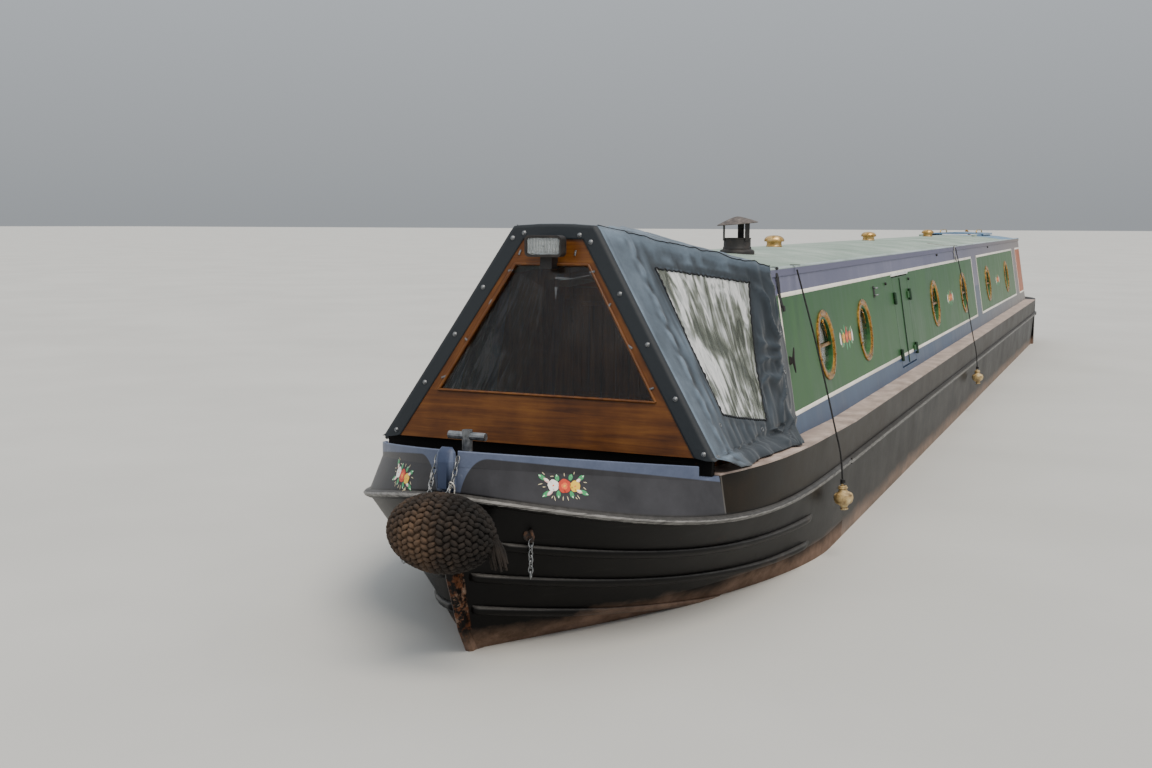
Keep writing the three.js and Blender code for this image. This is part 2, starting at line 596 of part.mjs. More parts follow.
// Cabin sides: drawn in elevation, cut for the portholes and the side hatch, and leant inwards.
const PORTHOLES = [-2841, -3979, -7056, -8960, -11118, -13224];
const PORTHOLE = { z: 1676, opening: 150 };
const HATCH = { fore: -5150, aft: -5780, low: 1300, high: 1985, gap: 5 };
const leanIn = (side) => new THREE.Matrix4().set(
  1, 0, 0, 0,
  0, -TUMBLEHOME * side, -side, side * (CABIN_BASE + TUMBLEHOME * SIDE_DECK),
  0, 1, 0, 0,
  0, 0, 0, 1,
);
const HATCH_FRAME = 100;
const SIDE_PANELS = [
  // name, fore edge, aft edge
  ["fore", CABIN_FRONT, HATCH.fore + HATCH_FRAME],
  ["middle", HATCH.fore + HATCH_FRAME - SEAT, HATCH.aft - HATCH_FRAME],
  ["aft", HATCH.aft - HATCH_FRAME - SEAT, CABIN_AFT],
];
for (const [name, side] of SIDES) {
  for (const [part, fore, aft] of SIDE_PANELS) {
    const foot = [aft, -2750, fore].filter((x) => x >= aft && x <= fore).map((x) => [x, sheer(x) + SEAT]);
    const elevation = shapeOf([...foot, [fore, CABIN_TOP], [aft, CABIN_TOP]]);
    for (const x of PORTHOLES.filter((at) => at < fore && at > aft)) {
      const hole = new THREE.Path();
      hole.absarc(x, PORTHOLE.z, PORTHOLE.opening, 0, 2 * Math.PI, true);
      elevation.holes.push(hole);
    }
    if (part === "middle") {
      elevation.holes.push(shapeOf([[HATCH.fore, HATCH.low], [HATCH.aft, HATCH.low],
        [HATCH.aft, HATCH.high], [HATCH.fore, HATCH.high]]));
    }
    const wall = indexed(new THREE.ExtrudeGeometry(elevation, plain(WALL)));
    add(`cabin_side_${name}_${part}`, wall.applyMatrix4(leanIn(side)), "green");
  }
}
const cabinHalf = (z) => CABIN_BASE - TUMBLEHOME * (z - SIDE_DECK);

// Roof: one cambered panel with a raised rail along each edge and the hatch opening aft.
const roofTop = (y) => ROOF_EDGE + ROOF_CAMBER * (1 - (y / LIP_INNER) ** 2);
const ROOF_T = 38;
const roofHalf = [
  [0, ROOF_EDGE + ROOF_CAMBER - ROOF_T], [250, roofTop(250) - ROOF_T], [500, roofTop(500) - ROOF_T],
  [690, CABIN_TOP], [ROOF_HALF, CABIN_TOP], [ROOF_HALF, 2146], [756, 2152], [732, 2152], [LIP_INNER, ROOF_EDGE],
  [500, roofTop(500)], [250, roofTop(250)], [0, ROOF_EDGE + ROOF_CAMBER],
];
const roofRing = [...roofHalf, ...roofHalf.slice(1, -1).map(([y, z]) => [-y, z]).reverse()];
const ROOF = { fore: CABIN_FRONT + 20, aft: CABIN_AFT - 20 };
const HATCHWAY = { fore: -14450, half: 300 };
const hatchHole = box(ROOF.aft - 50, HATCHWAY.fore, -HATCHWAY.half, HATCHWAY.half, 2000, 2400);
const RUNNER = { in: 330, out: 360, top: roofTop(345) + 22, fore: -13500 };
const runners = [1, -1].map((side) =>
  box(ROOF.aft, RUNNER.fore, Math.min(side * RUNNER.in, side * RUNNER.out), Math.max(side * RUNNER.in, side * RUNNER.out),
    roofTop(345) - 12, RUNNER.top));
add("cabin_roof", cut(join(crossPlate(roofRing, ROOF.fore, ROOF.aft), ...runners), hatchHole), "roof");

// Sliding hatch: a shallow tray that rides on the two runners.
const SLIDE = { fore: HATCHWAY.fore + 60, aft: ROOF.aft - 12, half: 385, t: 12 };
const slideProfile = [
  [SLIDE.half, RUNNER.top + SLIDE.t], [0, RUNNER.top + SLIDE.t + 14], [-SLIDE.half, RUNNER.top + SLIDE.t],
  [-SLIDE.half, RUNNER.top - 14], [-SLIDE.half + 10, RUNNER.top - 14], [-SLIDE.half + 10, RUNNER.top + SEAT],
  [SLIDE.half - 10, RUNNER.top + SEAT], [SLIDE.half - 10, RUNNER.top - 14], [SLIDE.half, RUNNER.top - 14],
];
add("sliding_hatch", crossPlate(slideProfile, SLIDE.fore, SLIDE.aft), "slate");

// Cabin bulkheads, each with its doorway.
function bulkhead(lowHalf, low, doorway) {
  const half = [
    [lowHalf, low], [lowHalf, 1240], [GUNWALE_INNER - 10, 1240], [GUNWALE_INNER - 10, SIDE_DECK + 30],
    [cabinHalf(CABIN_TOP) - WALL - 2, CABIN_TOP - 4], [500, roofTop(500) - ROOF_T - 1],
    [250, roofTop(250) - ROOF_T - 1], [0, roofTop(0) - ROOF_T - 1],
  ];
  const shape = shapeOf([...half, ...half.slice(0, -1).map(([y, z]) => [-y, z]).reverse()]);
  shape.holes.push(shapeOf([[-doorway.half, doorway.low], [doorway.half, doorway.low],
    [doorway.half, doorway.high], [-doorway.half, doorway.high]]));
  return indexed(new THREE.ExtrudeGeometry(shape, plain(WALL)));
}
const acrossAt = (x) => new THREE.Matrix4().set(0, 0, -1, x, 1, 0, 0, 0, 0, 1, 0, 0, 0, 0, 0, 1);
const FRONT_DOOR = { half: 330, low: 860, high: 2040 };
const REAR_DOOR = { half: 300, low: 1290, high: 2085 };
add("front_bulkhead", bulkhead(880, WELL_DECK, FRONT_DOOR).applyMatrix4(acrossAt(CABIN_FRONT)), "varnish");
add("rear_bulkhead", bulkhead(930, uxter, REAR_DOOR).applyMatrix4(acrossAt(CABIN_AFT + WALL)), "slate");

// Door leaves, drawn at the hinge: u away from the hinge, v out of the wall, w along the pin.
const LEAF_T = 40;
const PIN_OUT = 12;
function leaf(width, height, hinges) {
  const panel = box(13, 13 + width, -PIN_OUT - LEAF_T, -PIN_OUT, 0, height);
  const fittings = hinges.flatMap((w) => [
    bar([0, 0, w - 40], [0, 0, w + 40], 11.7),
    box(0, 90, -7, -1, w - 25, w + 25),
    box(18, 90, -13, -5, w - 25, w + 25),
  ]);
  return join(panel, ...fittings);
}
function hang(geometry, pin, u, v, w) {
  const place = new THREE.Matrix4().makeBasis(new THREE.Vector3(...u), new THREE.Vector3(...v), new THREE.Vector3(...w));
  return geometry.applyMatrix4(place.setPosition(new THREE.Vector3(...pin)));
}
for (const [name, side] of SIDES) {
  const front = leaf(FRONT_DOOR.half - 9, FRONT_DOOR.high - FRONT_DOOR.low - 10, [150, 1020]);
  add(`front_door_${name}`, hang(front, [CABIN_FRONT + PIN_OUT, side * (FRONT_DOOR.half + 8), FRONT_DOOR.low + 5],
    [0, -side, 0], [1, 0, 0], [0, 0, 1]), "varnish");
  const rear = leaf(REAR_DOOR.half - 9, REAR_DOOR.high - REAR_DOOR.low - 10, [120, 660]);
  add(`rear_door_${name}`, hang(rear, [CABIN_AFT - PIN_OUT, side * (REAR_DOOR.half + 8), REAR_DOOR.low + 5],
    [0, -side, 0], [-1, 0, 0], [0, 0, 1]), "slate");
}

// Side hatch leaves lie in the leaning cabin side.
const lean = Math.hypot(1, TUMBLEHOME);
const upSlope = (side) => [0, -side * TUMBLEHOME / lean, 1 / lean];
const outward = (side) => [0, side / lean, TUMBLEHOME / lean];
for (const [name, side] of SIDES) {
  for (const [end, edge, turn] of [["fore", HATCH.fore, 1], ["aft", HATCH.aft, -1]]) {
    const width = (HATCH.fore - HATCH.aft) / 2 - 7.5;
    const height = (HATCH.high - HATCH.low) * lean - 24;
    const foot = HATCH.low + 12;
    const face = [edge + turn * 8, side * cabinHalf(foot), foot];
    const pin = face.map((value, axis) => value + PIN_OUT * outward(side)[axis]);
    add(`side_hatch_${name}_${end}`, hang(leaf(width, height, [88, 515]), pin, [-turn, 0, 0],
      outward(side), upSlope(side)), "green");
  }
}

// Floor and engine.
add("cabin_floor", box(-13500, BOW_END - 1, -880, 880, PLATE, 150), "boards");
add("engine", box(-14800, -13950, -250, 250, PLATE, 720), "engine");

// Chimney: collar seated on the cambered roof, three straps and a coned cap.
const CHIMNEY = { x: -3000, y: 230, r: 82, seat: 106 };
const ringAt = (r, z) => Array.from({ length: 24 }, (_, i) => {
  const turn = (i / 24) * 2 * Math.PI;
  const y = CHIMNEY.y + r * Math.sin(turn);
  return [CHIMNEY.x + r * Math.cos(turn), y, z ?? roofTop(y) + 1];
});
const collarBase = roofTop(CHIMNEY.y) + 24;
const collar = skin([ringAt(CHIMNEY.seat), ringAt(CHIMNEY.seat, collarBase)]);
const pipe = turned([[0, 0], [CHIMNEY.r, 0], [CHIMNEY.r, 70], [CHIMNEY.r - 6, 70], [CHIMNEY.r - 6, 12], [0, 12]],
  CHIMNEY.x, CHIMNEY.y, collarBase - 4);
const straps = [0, 1, 2].map((i) => {
  const turn = (i / 3) * 2 * Math.PI + 0.4;
  return new THREE.BoxGeometry(6, 26, 110).translate(CHIMNEY.r - 1, 0, 0).rotateZ(turn)
    .translate(CHIMNEY.x, CHIMNEY.y, collarBase + 105);
});
const cap = turned([[0, 0], [126, 0], [126, 5], [20, 44], [0, 44]], CHIMNEY.x, CHIMNEY.y, collarBase + 150);
add("chimney", join(collar, pipe, ...straps, cap), "chimney");

// Mushroom ventilators on the crown of the roof.
for (const [name, x] of [["fore", -4700], ["middle", -8200], ["aft", -11900]]) {
  const profile = [[0, 0], [60, 0], [60, 40], [74, 40], [73, 54], [62, 69], [40, 79], [0, 83]];
  add(`mushroom_vent_${name}`, turned(profile, x, 0, roofTop(0) + SEAT, 20), "brass");
}

// Propeller and its shaft.
const PROP = { x: -16010, radius: 215 };
function blade(turn) {
  const rows = [[30, 70, 12, 0.95], [90, 120, 10, 0.7], [160, 140, 8, 0.5], [205, 90, 5, 0.42], [PROP.radius, 50, 3, 0.4]];
  return skin(rows.map(([r, chord, t, pitch]) => [[-1, -1], [1, -1], [1, 1], [-1, 1]].map(([c, d]) => {
    const [along, thick] = [c * chord / 2, d * t / 2];
    const x = along * Math.sin(pitch) + thick * Math.cos(pitch);
    const side = along * Math.cos(pitch) - thick * Math.sin(pitch);
    return [x, side * Math.cos(turn) - r * Math.sin(turn), side * Math.sin(turn) + r * Math.cos(turn)];
  }))).translate(PROP.x, 0, SHAFT_Z);
}
const shaft = bar([STERN_POST - 5, 0, SHAFT_Z], [PROP.x + 20, 0, SHAFT_Z], 20, 24);
const hub = bar([STERN_POST - 101, 0, SHAFT_Z], [PROP.x - 60, 0, SHAFT_Z], 38, 24);
const blades = [0, 1, 2].map((i) => blade((i / 3) * 2 * Math.PI));
add("propeller", join(hub, shaft, ...blades), "bronze");

// Rudder on its stock, and the tiller above it.
const STOCK_TOP = 1330;
const stock = bar([RUDDER_X, 0, 30 + SEAT], [RUDDER_X, 0, STOCK_TOP], STOCK, 24);
const rudderBlade = box(RUDDER_X - 380, RUDDER_X + 160, -7, 7, 60, 520);
add("rudder", join(rudderBlade, stock), "blacking");
const swanNeck = tube([[RUDDER_X, 0, STOCK_TOP + SEAT], [RUDDER_X - 2, 0, 1560], [RUDDER_X + 20, 0, 1800],
  [RUDDER_X + 120, 0, 2030], [RUDDER_X + 270, 0, 2160], [RUDDER_X + 430, 0, 2205]], 23, 24, 10);
const handle = bar([RUDDER_X + 400, 0, 2198], [RUDDER_X + 710, 0, 2250], 17);
add("tiller", join(swanNeck, handle), "brass");

// Fenders: the bow button, which hangs askew on its two chains, the stern button, and the small ones
// hung along each side.
function bead(x, y, z, rx, ry, rz, wide = 20, high = 12) {
  return new THREE.SphereGeometry(1, wide, high).rotateX(Math.PI / 2).scale(rx, ry, rz).translate(x, y, z);
}
const STEM_FACE = stemX(1185) + 20;
const BOW_BUN = { y: 60, z: 1185, half: 235, high: 160 };
const bunBack = Math.sqrt(1 - ((BOW_BUN.y - 19.5) / BOW_BUN.half) ** 2);
const bowDepth = (BOW_REACH - STEM_FACE - SEAT) / (1 + bunBack);
const chains = [1, -1].map((side) => tube([[182, side * 47.1, 1440], [204, side * 47.8, 1385],
  [236, side * 44, 1338], [300, 12 + side * 30, 1300]], 7, 24));
const bun = bead(BOW_REACH - bowDepth, BOW_BUN.y, BOW_BUN.z, bowDepth, BOW_BUN.half, BOW_BUN.high);
const tassel = bead(BOW_REACH - bowDepth - 23, BOW_BUN.y + 230, 1125, 38, 42, 78, 12, 8);
add("bow_fender", join(bun, tassel, ...chains), "rope");
const STERN_FACE = counterPoint(Math.PI / 2, 24)[0] - 0.5;
const sternDepth = (STERN_FACE - SEAT - STERN_REACH) / 2;
add("stern_fender", bead(STERN_REACH + sternDepth, 0, strakeHeight(CABIN_AFT), sternDepth, 170, 150), "rope");

const HANG = [
  // end, X of the fender, how far aft of it the line is hooked
  ["fore", -2130, 178],
  ["aft", -8010, 590],
];
for (const [name, side] of SIDES) {
  for (const [end, x, back] of HANG) {
    const ball = bead(x, 1103, 935, 52, 52, 76, 16, 10);
    const line = tube([[x, 1103, 995], [x, 1080, 1170], [x - 0.04 * back, 1052, 1280],
      [x - 0.45 * back, 930, 1690], [x - back, 778, 2132]], 6, 24);
    const hook = box(x - back - 16, x - back + 16, ROOF_HALF + SEAT, ROOF_HALF + 26, 2112, 2144);
    const geometry = join(ball, line, hook);
    if (side < 0) geometry.scale(1, -1, 1);
    add(`side_fender_${name}_${end}`, geometry, "cream");
  }
}

export default boat;
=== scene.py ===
# %% [markdown]
# # A canal narrowboat, dressed piece by piece
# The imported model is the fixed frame: the steel hull, the cabin, its doors and the rudder. Everything
# here sits on it, in metres, with +X to the bow, +Y to port and +Z up. The water would stand 0.600 m
# above the flat bottom.

# %% The frame
import math
import random

import bpy
from mathutils import Matrix, Vector, noise
from mathutils.bvhtree import BVHTree


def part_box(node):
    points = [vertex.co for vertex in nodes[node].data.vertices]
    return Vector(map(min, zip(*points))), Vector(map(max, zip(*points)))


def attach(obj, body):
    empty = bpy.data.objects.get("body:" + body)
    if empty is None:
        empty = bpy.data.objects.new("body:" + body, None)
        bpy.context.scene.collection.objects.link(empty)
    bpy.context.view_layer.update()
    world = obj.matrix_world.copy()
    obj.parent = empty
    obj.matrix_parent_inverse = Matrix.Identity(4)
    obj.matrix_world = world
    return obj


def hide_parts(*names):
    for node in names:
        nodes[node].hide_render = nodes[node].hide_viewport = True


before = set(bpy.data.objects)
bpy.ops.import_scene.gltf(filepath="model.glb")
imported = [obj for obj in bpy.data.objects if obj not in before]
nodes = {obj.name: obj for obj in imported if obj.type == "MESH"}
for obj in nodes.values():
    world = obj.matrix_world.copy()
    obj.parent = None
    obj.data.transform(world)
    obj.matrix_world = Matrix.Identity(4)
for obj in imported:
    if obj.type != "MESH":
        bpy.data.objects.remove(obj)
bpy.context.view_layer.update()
bpy.ops.object.select_all(action="DESELECT")
WATERLINE = 0.600
SIDES = {"port": 1, "starboard": -1}

# %% [markdown]
# ## Where the picture is taken from
# The camera stands on the towpath off the port bow. Its place, turn and lens were fitted to the hull's own
# edges, so what is modelled at its real size also falls in its place in the picture.

# %% Camera
YAW, PITCH, ROLL = 0.4154, 0.126, 0.002
forward = Vector((-math.cos(YAW) * math.cos(PITCH), -math.sin(YAW) * math.cos(PITCH), -math.sin(PITCH)))
level = forward.cross(Vector((0, 0, 1))).normalized()
upright = level.cross(forward)
right = level * math.cos(ROLL) + upright * math.sin(ROLL)
above = upright * math.cos(ROLL) - level * math.sin(ROLL)
bpy.ops.object.camera_add(location=(12.7764, 2.524, 2.3939))
camera = bpy.context.object
camera.rotation_euler = Matrix((right, above, -forward)).transposed().to_euler()
camera.data.lens = 40.37
camera.data.sensor_width = 36
camera.data.clip_end = 400
bpy.context.scene.camera = camera
print("camera at", [round(v, 2) for v in camera.location])

# %% [markdown]
# ## Finding the solids' surfaces
# Many small pieces lie on a curved or leaning face: a line of paint, a stud, a rose. Rays shot at the
# solids find that face, so each piece can be laid on what carries it instead of being placed by eye.

# %% Rays against the solids
def skin_of(*names):
    """The faces of some solids of the frame, or of finished pieces, ready to be hit by rays."""
    points, faces = [], []
    for name in names:
        mesh = (nodes.get(name) or bpy.data.objects[name]).data
        start = len(points)
        points += [v.co.copy() for v in mesh.vertices]
        faces += [[start + i for i in face.vertices] for face in mesh.polygons]
    return BVHTree.FromPolygons(points, faces)


hull_skin = skin_of("fore_hull", "fore_topside_port", "hull_side_port", "counter", "stem_post")


def half_beam(x, z=WATERLINE):
    """How far the hull reaches to port at a place along it."""
    hit = hull_skin.ray_cast(Vector((x, 3, z)), Vector((0, -1, 0)))[0]
    return hit.y if hit else 0.0


print("half beam amidships", round(half_beam(0), 3))

# %% [markdown]
# ## The floor at the waterline
# The floor stands where the water would. It has a hole in the shape of the hull's own outline there, a few
# millimetres small so that no light comes through. It starts as a circle whose points are moved to that
# outline. Its edge is extruded out to a wide ring, and that ring is stretched to the horizon.

# %% The floor
stations = [-8.408, -8.4, -8.38, -8.34, -8.28, -8.2, -8.1, -7.95, -7.8, -7.6, -7.4, -7.25, -6, 0, 5.3]
stations += [5.6 + 0.13 * i for i in range(20)] + [8.16]
stations = [x for x in stations if half_beam(x) > 0.012]
outline = [(x, half_beam(x) - 0.006) for x in stations]
outline += [(x, -y) for x, y in reversed(outline)]
bpy.ops.mesh.primitive_circle_add(vertices=len(outline), fill_type="NOTHING")
floor = bpy.context.object
floor.name = "floor"
for vertex, (x, y) in zip(floor.data.vertices, outline):
    vertex.co = (x, y, WATERLINE)
bpy.ops.object.mode_set(mode="EDIT")
bpy.ops.mesh.select_all(action="SELECT")
bpy.ops.mesh.extrude_edges_move()
bpy.ops.object.mode_set(mode="OBJECT")
for vertex in floor.data.vertices:
    if vertex.select:
        turn = math.atan2(math.copysign(8, vertex.co.y), vertex.co.x)
        vertex.co = (14 * math.cos(turn), 14 * math.sin(turn), WATERLINE)
bpy.ops.object.mode_set(mode="EDIT")
bpy.ops.mesh.extrude_edges_move()
bpy.ops.transform.resize(value=(25, 25, 1), center_override=(0, 0, 0))
bpy.ops.mesh.select_all(action="SELECT")
bpy.ops.mesh.normals_make_consistent(inside=False)
bpy.ops.object.mode_set(mode="OBJECT")
print("floor", [round(v, 1) for v in floor.dimensions])

# %% [markdown]
# ## Soft daylight
# The light of a bright overcast day: a sky that is strong overhead and weak at the horizon, so that tops
# are pale, sides are deeper and gloss paint doesn't wash out, and one very wide sun over the port bow.

# %% Sky and sun
def colour(code):
    """An sRGB hex value as the linear colour that Blender's sockets take."""
    parts = [int(code[i:i + 2], 16) / 255 for i in (1, 3, 5)]
    return tuple(c / 12.92 if c <= 0.04045 else ((c + 0.055) / 1.055) ** 2.4 for c in parts) + (1.0,)


world = bpy.data.worlds.new("sky")
world.use_nodes = True
sky_nodes, sky_links = world.node_tree.nodes, world.node_tree.links
direction = sky_nodes.new("ShaderNodeTexCoord")
upward = sky_nodes.new("ShaderNodeSeparateXYZ")
sky_links.new(direction.outputs["Object"], upward.inputs[0])
brightness = sky_nodes.new("ShaderNodeMapRange")
sky_links.new(upward.outputs["Z"], brightness.inputs["Value"])
for socket, value in (("From Min", 0.0), ("From Max", 0.75), ("To Min", 0.42), ("To Max", 1.25)):
    brightness.inputs[socket].default_value = value
sky_nodes["Background"].inputs["Color"].default_value = colour("#eaf0f6")
sky_links.new(brightness.outputs[0], sky_nodes["Background"].inputs["Strength"])
bpy.context.scene.world = world
bpy.ops.object.light_add(type="SUN", rotation=Vector((0.35, 0.5, 1.1)).to_track_quat("Z", "Y").to_euler())
sun = bpy.context.object
sun.data.energy = 2.6
sun.data.angle = math.radians(35)
sun.data.color = colour("#fff4e4")[:3]
print("sky and sun set")

# %% [markdown]
# ## Mixing finishes
# Each finish is a small tree of nodes that starts from the values its real stuff has: colour, roughness and
# whether it is metal. The methods below add a node each, so that a finish reads as a list of its layers.

# %% Finish
class Finish:
    """A material in the making. Most methods add one node and give the socket that comes out of it."""

    def __init__(self, name, code, roughness, metallic=0.0):
        self.material = bpy.data.materials.new(name)
        self.material.use_nodes = True
        self.tree = self.material.node_tree
        self.done(Base_Color=code, Roughness=roughness, Metallic=metallic)
        self.where = self.node("TexCoord").outputs["Object"]

    def feed(self, socket, value):
        """Gives a socket a link, a colour or a plain value."""
        if isinstance(value, bpy.types.NodeSocket):
            self.tree.links.new(value, socket)
        else:
            socket.default_value = colour(value) if isinstance(value, str) else value

    def node(self, kind, inputs=None, **settings):
        """One node with its settings; inputs maps each socket to what feeds it."""
        made = self.tree.nodes.new("ShaderNode" + kind)
        for name, value in settings.items():
            setattr(made, name, value)
        for socket, value in (inputs or {}).items():
            self.feed(made.inputs[socket], value)
        return made

    def done(self, **sockets):
        """Feeds the shader's own sockets and gives the material."""
        shader = self.tree.nodes["Principled BSDF"]
        for name, value in sockets.items():
            self.feed(shader.inputs[name.replace("_", " ")], value)
        return self.material

    def parts(self, vector=None):
        """The X, Y and Z of a vector, or of the place on the boat."""
        return self.node("SeparateXYZ", {0: vector or self.where}).outputs[:]

    def facing(self):
        """The X, Y and Z of the way that the surface faces."""
        return self.parts(self.node("NewGeometry").outputs["Normal"])

    def noise(self, scale, detail=2, rough=0.5, vector=None, distortion=0.0):
        """Clouds of noise, about this many in a metre."""
        return self.node("TexNoise", {"Vector": vector or self.where, "Scale": scale, "Detail": detail,
                                      "Roughness": rough, "Distortion": distortion}).outputs["Fac"]

    def bands(self, scale, axis, vector=None, distortion=0.0):
        """Soft stripes across an axis."""
        return self.node("TexWave", {"Vector": vector or self.where, "Scale": scale, "Distortion": distortion},
                         bands_direction=axis).outputs["Fac"]

    def stretched(self, scale, vector=None, degrees=0):
        """Coordinates that draw a pattern out along the axis whose scale is small."""
        return self.node("Mapping", {"Vector": vector or self.where, "Rotation": (0, 0, math.radians(degrees)),
                                     "Scale": scale}).outputs[0]

    def ramp(self, value, *stops, hard=False):
        """A value turned into colours or greys; each stop is (position, tint)."""
        made = self.node("ValToRGB", {0: value})
        elements = made.color_ramp.elements
        while len(elements) < len(stops):
            elements.new(0.5)
        for element, (at, tint) in zip(elements, stops):
            element.position = at
            element.color = colour(tint) if isinstance(tint, str) else (tint, tint, tint, 1)
        if hard:
            made.color_ramp.interpolation = "CONSTANT"
        return made.outputs[0]

    def calc(self, operation, *values):
        """What the Math node makes of some values."""
        return self.node("Math", dict(enumerate(values)), operation=operation).outputs[0]

    def span(self, value, low, high, to_low=0.0, to_high=1.0):
        """A value from low to high, mapped to between two others and held there."""
        return self.node("MapRange", {"Value": value, "From Min": low, "From Max": high, "To Min": to_low,
                                      "To Max": to_high}).outputs[0]

    def blend(self, share, first, second, **settings):
        """A colour between two."""
        return self.node("Mix", {0: share, 6: first, 7: second}, data_type="RGBA", **settings).outputs[2]

    def average(self, share, first, second):
        """A value between two."""
        return self.node("Mix", {0: share, 2: first, 3: second}).outputs[0]

    def bump(self, height, strength, distance, under=None):
        """A normal that follows a height, on top of another one."""
        inputs = {"Height": height, "Strength": strength, "Distance": distance}
        return self.node("Bump", {**inputs, "Normal": under} if under else inputs).outputs[0]


def dress(material, *names):
    """Gives solids of the frame their finish."""
    for name in names:
        nodes[name].material_slots[0].material = material


# %% [markdown]
# ## A pale studio floor
# Matt, light and even, with a faint mottle so that it isn't a dead white.

# %% Floor paint
paint = Finish("floor_paint", "#bfbeba", 0.8)
mottle = paint.ramp(paint.noise(0.6, 3), (0.35, "#bdbcb8"), (0.65, "#c4c3bf"))
floor.data.materials.append(paint.done(Base_Color=mottle))
print("floor painted")

# %% [markdown]
# ## Bitumen blacking
# The hull below the rubbing strake is mild steel under black bitumen, brushed on every few years: nearly black,
# with dull patches, thin scratches along the boat from walls and locks, rust where it is rubbed through, and a
# dried brown scum band just above the water. Large noise gives the patches, noise drawn out along X the scratches,
# and height above the water the band. The faces that look up, such as the tops of the strakes, are painted paler:
# dust, and a painted highlight where light falls on them. The topsides carry gloss over the same steel, and above
# the strake its reflections are painted in: grey forward of the weld, dark brown aft of it. Three painted or worn
# zones follow the hull's own lines: the slate cant above the sheer, which turns down beside the stem in a round
# sweep, the top strake, scuffed to pale grey, and the weld that joins the bow plates.

# %% Hull steel
def hull_steel(name, topsides):
    """Steel under bitumen, or under gloss with the painted zones of the topsides."""
    steel = Finish(name, "#141314", 0.5)
    x, y, z = steel.parts()
    patches, speckle = steel.noise(3.2, 6, 0.65), steel.noise(26, 8, 0.75)
    scratches = steel.noise(1.7, 8, 0.72, steel.stretched((1.1, 1.1, 60)))
    rust_noise = steel.noise(5.5, 10, 0.78)
    tint = steel.ramp(patches, (0.3, "#030303"), (0.55, "#080707"), (0.75, "#11100f"))
    tint = steel.blend(steel.ramp(scratches, (0.6, 0.0), (0.74, 0.5)), tint, "#33302d")
    tint = steel.blend(steel.ramp(rust_noise, (0.62, 0.0), (0.73, 0.7)), tint, "#3c2417")
    # Faces that look up are painted paler: dust, and a painted highlight where light falls on the tops of the
    # strakes.
    upward_dust_and_highlight = steel.span(steel.facing()[2], 0.12, 0.5, 0, 0.75)
    tint = steel.blend(steel.calc("MULTIPLY", upward_dust_and_highlight, speckle), tint, "#6c6a68")
    rough = steel.span(patches, 0, 1, 0.45, 0.8)
    if topsides:
        # The height of the top strake and of the sheer, each worked out from X as on the hull itself.
        strake = steel.calc("POWER", steel.span(x, 5.801, 8.33), 3.72)
        strake = steel.calc("MULTIPLY_ADD", strake, 0.247, 1.044)
        rise = steel.calc("SUBTRACT", z, strake)
        above_strake = steel.span(rise, 0.02, 0.03)
        off = steel.calc("ABSOLUTE", steel.calc("ADD", rise, 0.003))
        scuffs = steel.noise(3.5, 9, 0.75, steel.stretched((5, 5, 45)))
        band = steel.calc("LESS_THAN", off, steel.calc("MULTIPLY_ADD", scuffs, 0.010, 0.004))
        worn = steel.calc("MULTIPLY", steel.ramp(scuffs, (0.38, 0.15), (0.6, 0.8)), band)
        fore = steel.calc("GREATER_THAN", x, 7.410)
        # Above the strake the black gloss carries painted reflections: grey from the sky forward of the weld, dark
        # brown aft of it.
        bulwark = steel.blend(fore, steel.ramp(patches, (0.3, "#120f0a"), (0.7, "#251d14")),
                              steel.ramp(patches, (0.3, "#323235"), (0.7, "#454549")))
        tint = steel.blend(above_strake, tint, bulwark)
        tint = steel.blend(worn, tint, "#8e8c89")
        # The weld: a thin pale line down the bow plating above the strake.
        weld = steel.calc("SUBTRACT", x, steel.calc("MULTIPLY_ADD", z, -0.111, 7.5406))
        weld = steel.span(steel.calc("ABSOLUTE", weld), 0.002, 0.006, 0.5, 0)
        tint = steel.blend(steel.calc("MULTIPLY", weld, above_strake), tint, "#6f6c68")
        # The cant: slate above a line 45 mm under the sheer, and round the stem head in a quarter sweep.
        over = steel.calc("SUBTRACT", z, steel.calc("MULTIPLY_ADD", x, 0.22509, -0.4146))
        rising = steel.calc("MULTIPLY_ADD", over, 1 / 0.24, 1)
        aside = steel.calc("ABSOLUTE", y)
        inwards = steel.calc("MULTIPLY_ADD", aside, -1 / 0.11, 1 + 0.045 / 0.11)
        corner = steel.node("CombineXYZ", {0: steel.calc("MAXIMUM", rising, 0),
                                           1: steel.calc("MAXIMUM", inwards, 0)}).outputs[0]
        reach = steel.node("VectorMath", {0: corner}, operation="LENGTH").outputs["Value"]
        high = steel.calc("MULTIPLY", above_strake, fore)
        cant = steel.calc("MULTIPLY", steel.span(reach, 0.99, 1.01), high)
        slate = steel.ramp(rust_noise, (0.3, "#4d566c"), (0.6, "#5f687e"), (0.72, "#828a9a"))
        tint = steel.blend(cant, tint, slate)
        rough = steel.span(patches, 0, 1, 0.3, 0.55)
        # The stem bar: navy above the strake, and rubbed to rust below it where locks and banks touch it.
        bar = steel.calc("MULTIPLY", steel.span(aside, 0.030, 0.024), fore)
        head = steel.calc("MULTIPLY", steel.calc("MULTIPLY", bar, above_strake), 0.7)
        tint = steel.blend(head, tint, "#27324c")
        chipped = steel.ramp(speckle, (0.48, 0.0), (0.55, 0.85))
        chipped = steel.calc("MULTIPLY", chipped, steel.span(z, 1.04, 0.96))
        rust = steel.ramp(rust_noise, (0.35, "#372013"), (0.52, "#6b4128"), (0.62, "#9a8574"))
        tint = steel.blend(steel.calc("MULTIPLY", chipped, bar), tint, rust)
        steel.done(Coat_Weight=0.06, Coat_Roughness=0.3)
    height = steel.calc("MULTIPLY_ADD", patches, -0.16, z)
    scum = steel.ramp(rust_noise, (0.35, "#5a4739"), (0.6, "#8a7060"))
    tint = steel.blend(steel.span(height, 0.56, 0.64, 0.85, 0.0), tint, scum)
    return steel.done(Base_Color=tint, Roughness=rough, Specular_IOR_Level=0.12,
                      Normal=steel.bump(speckle, 0.2, 0.003))


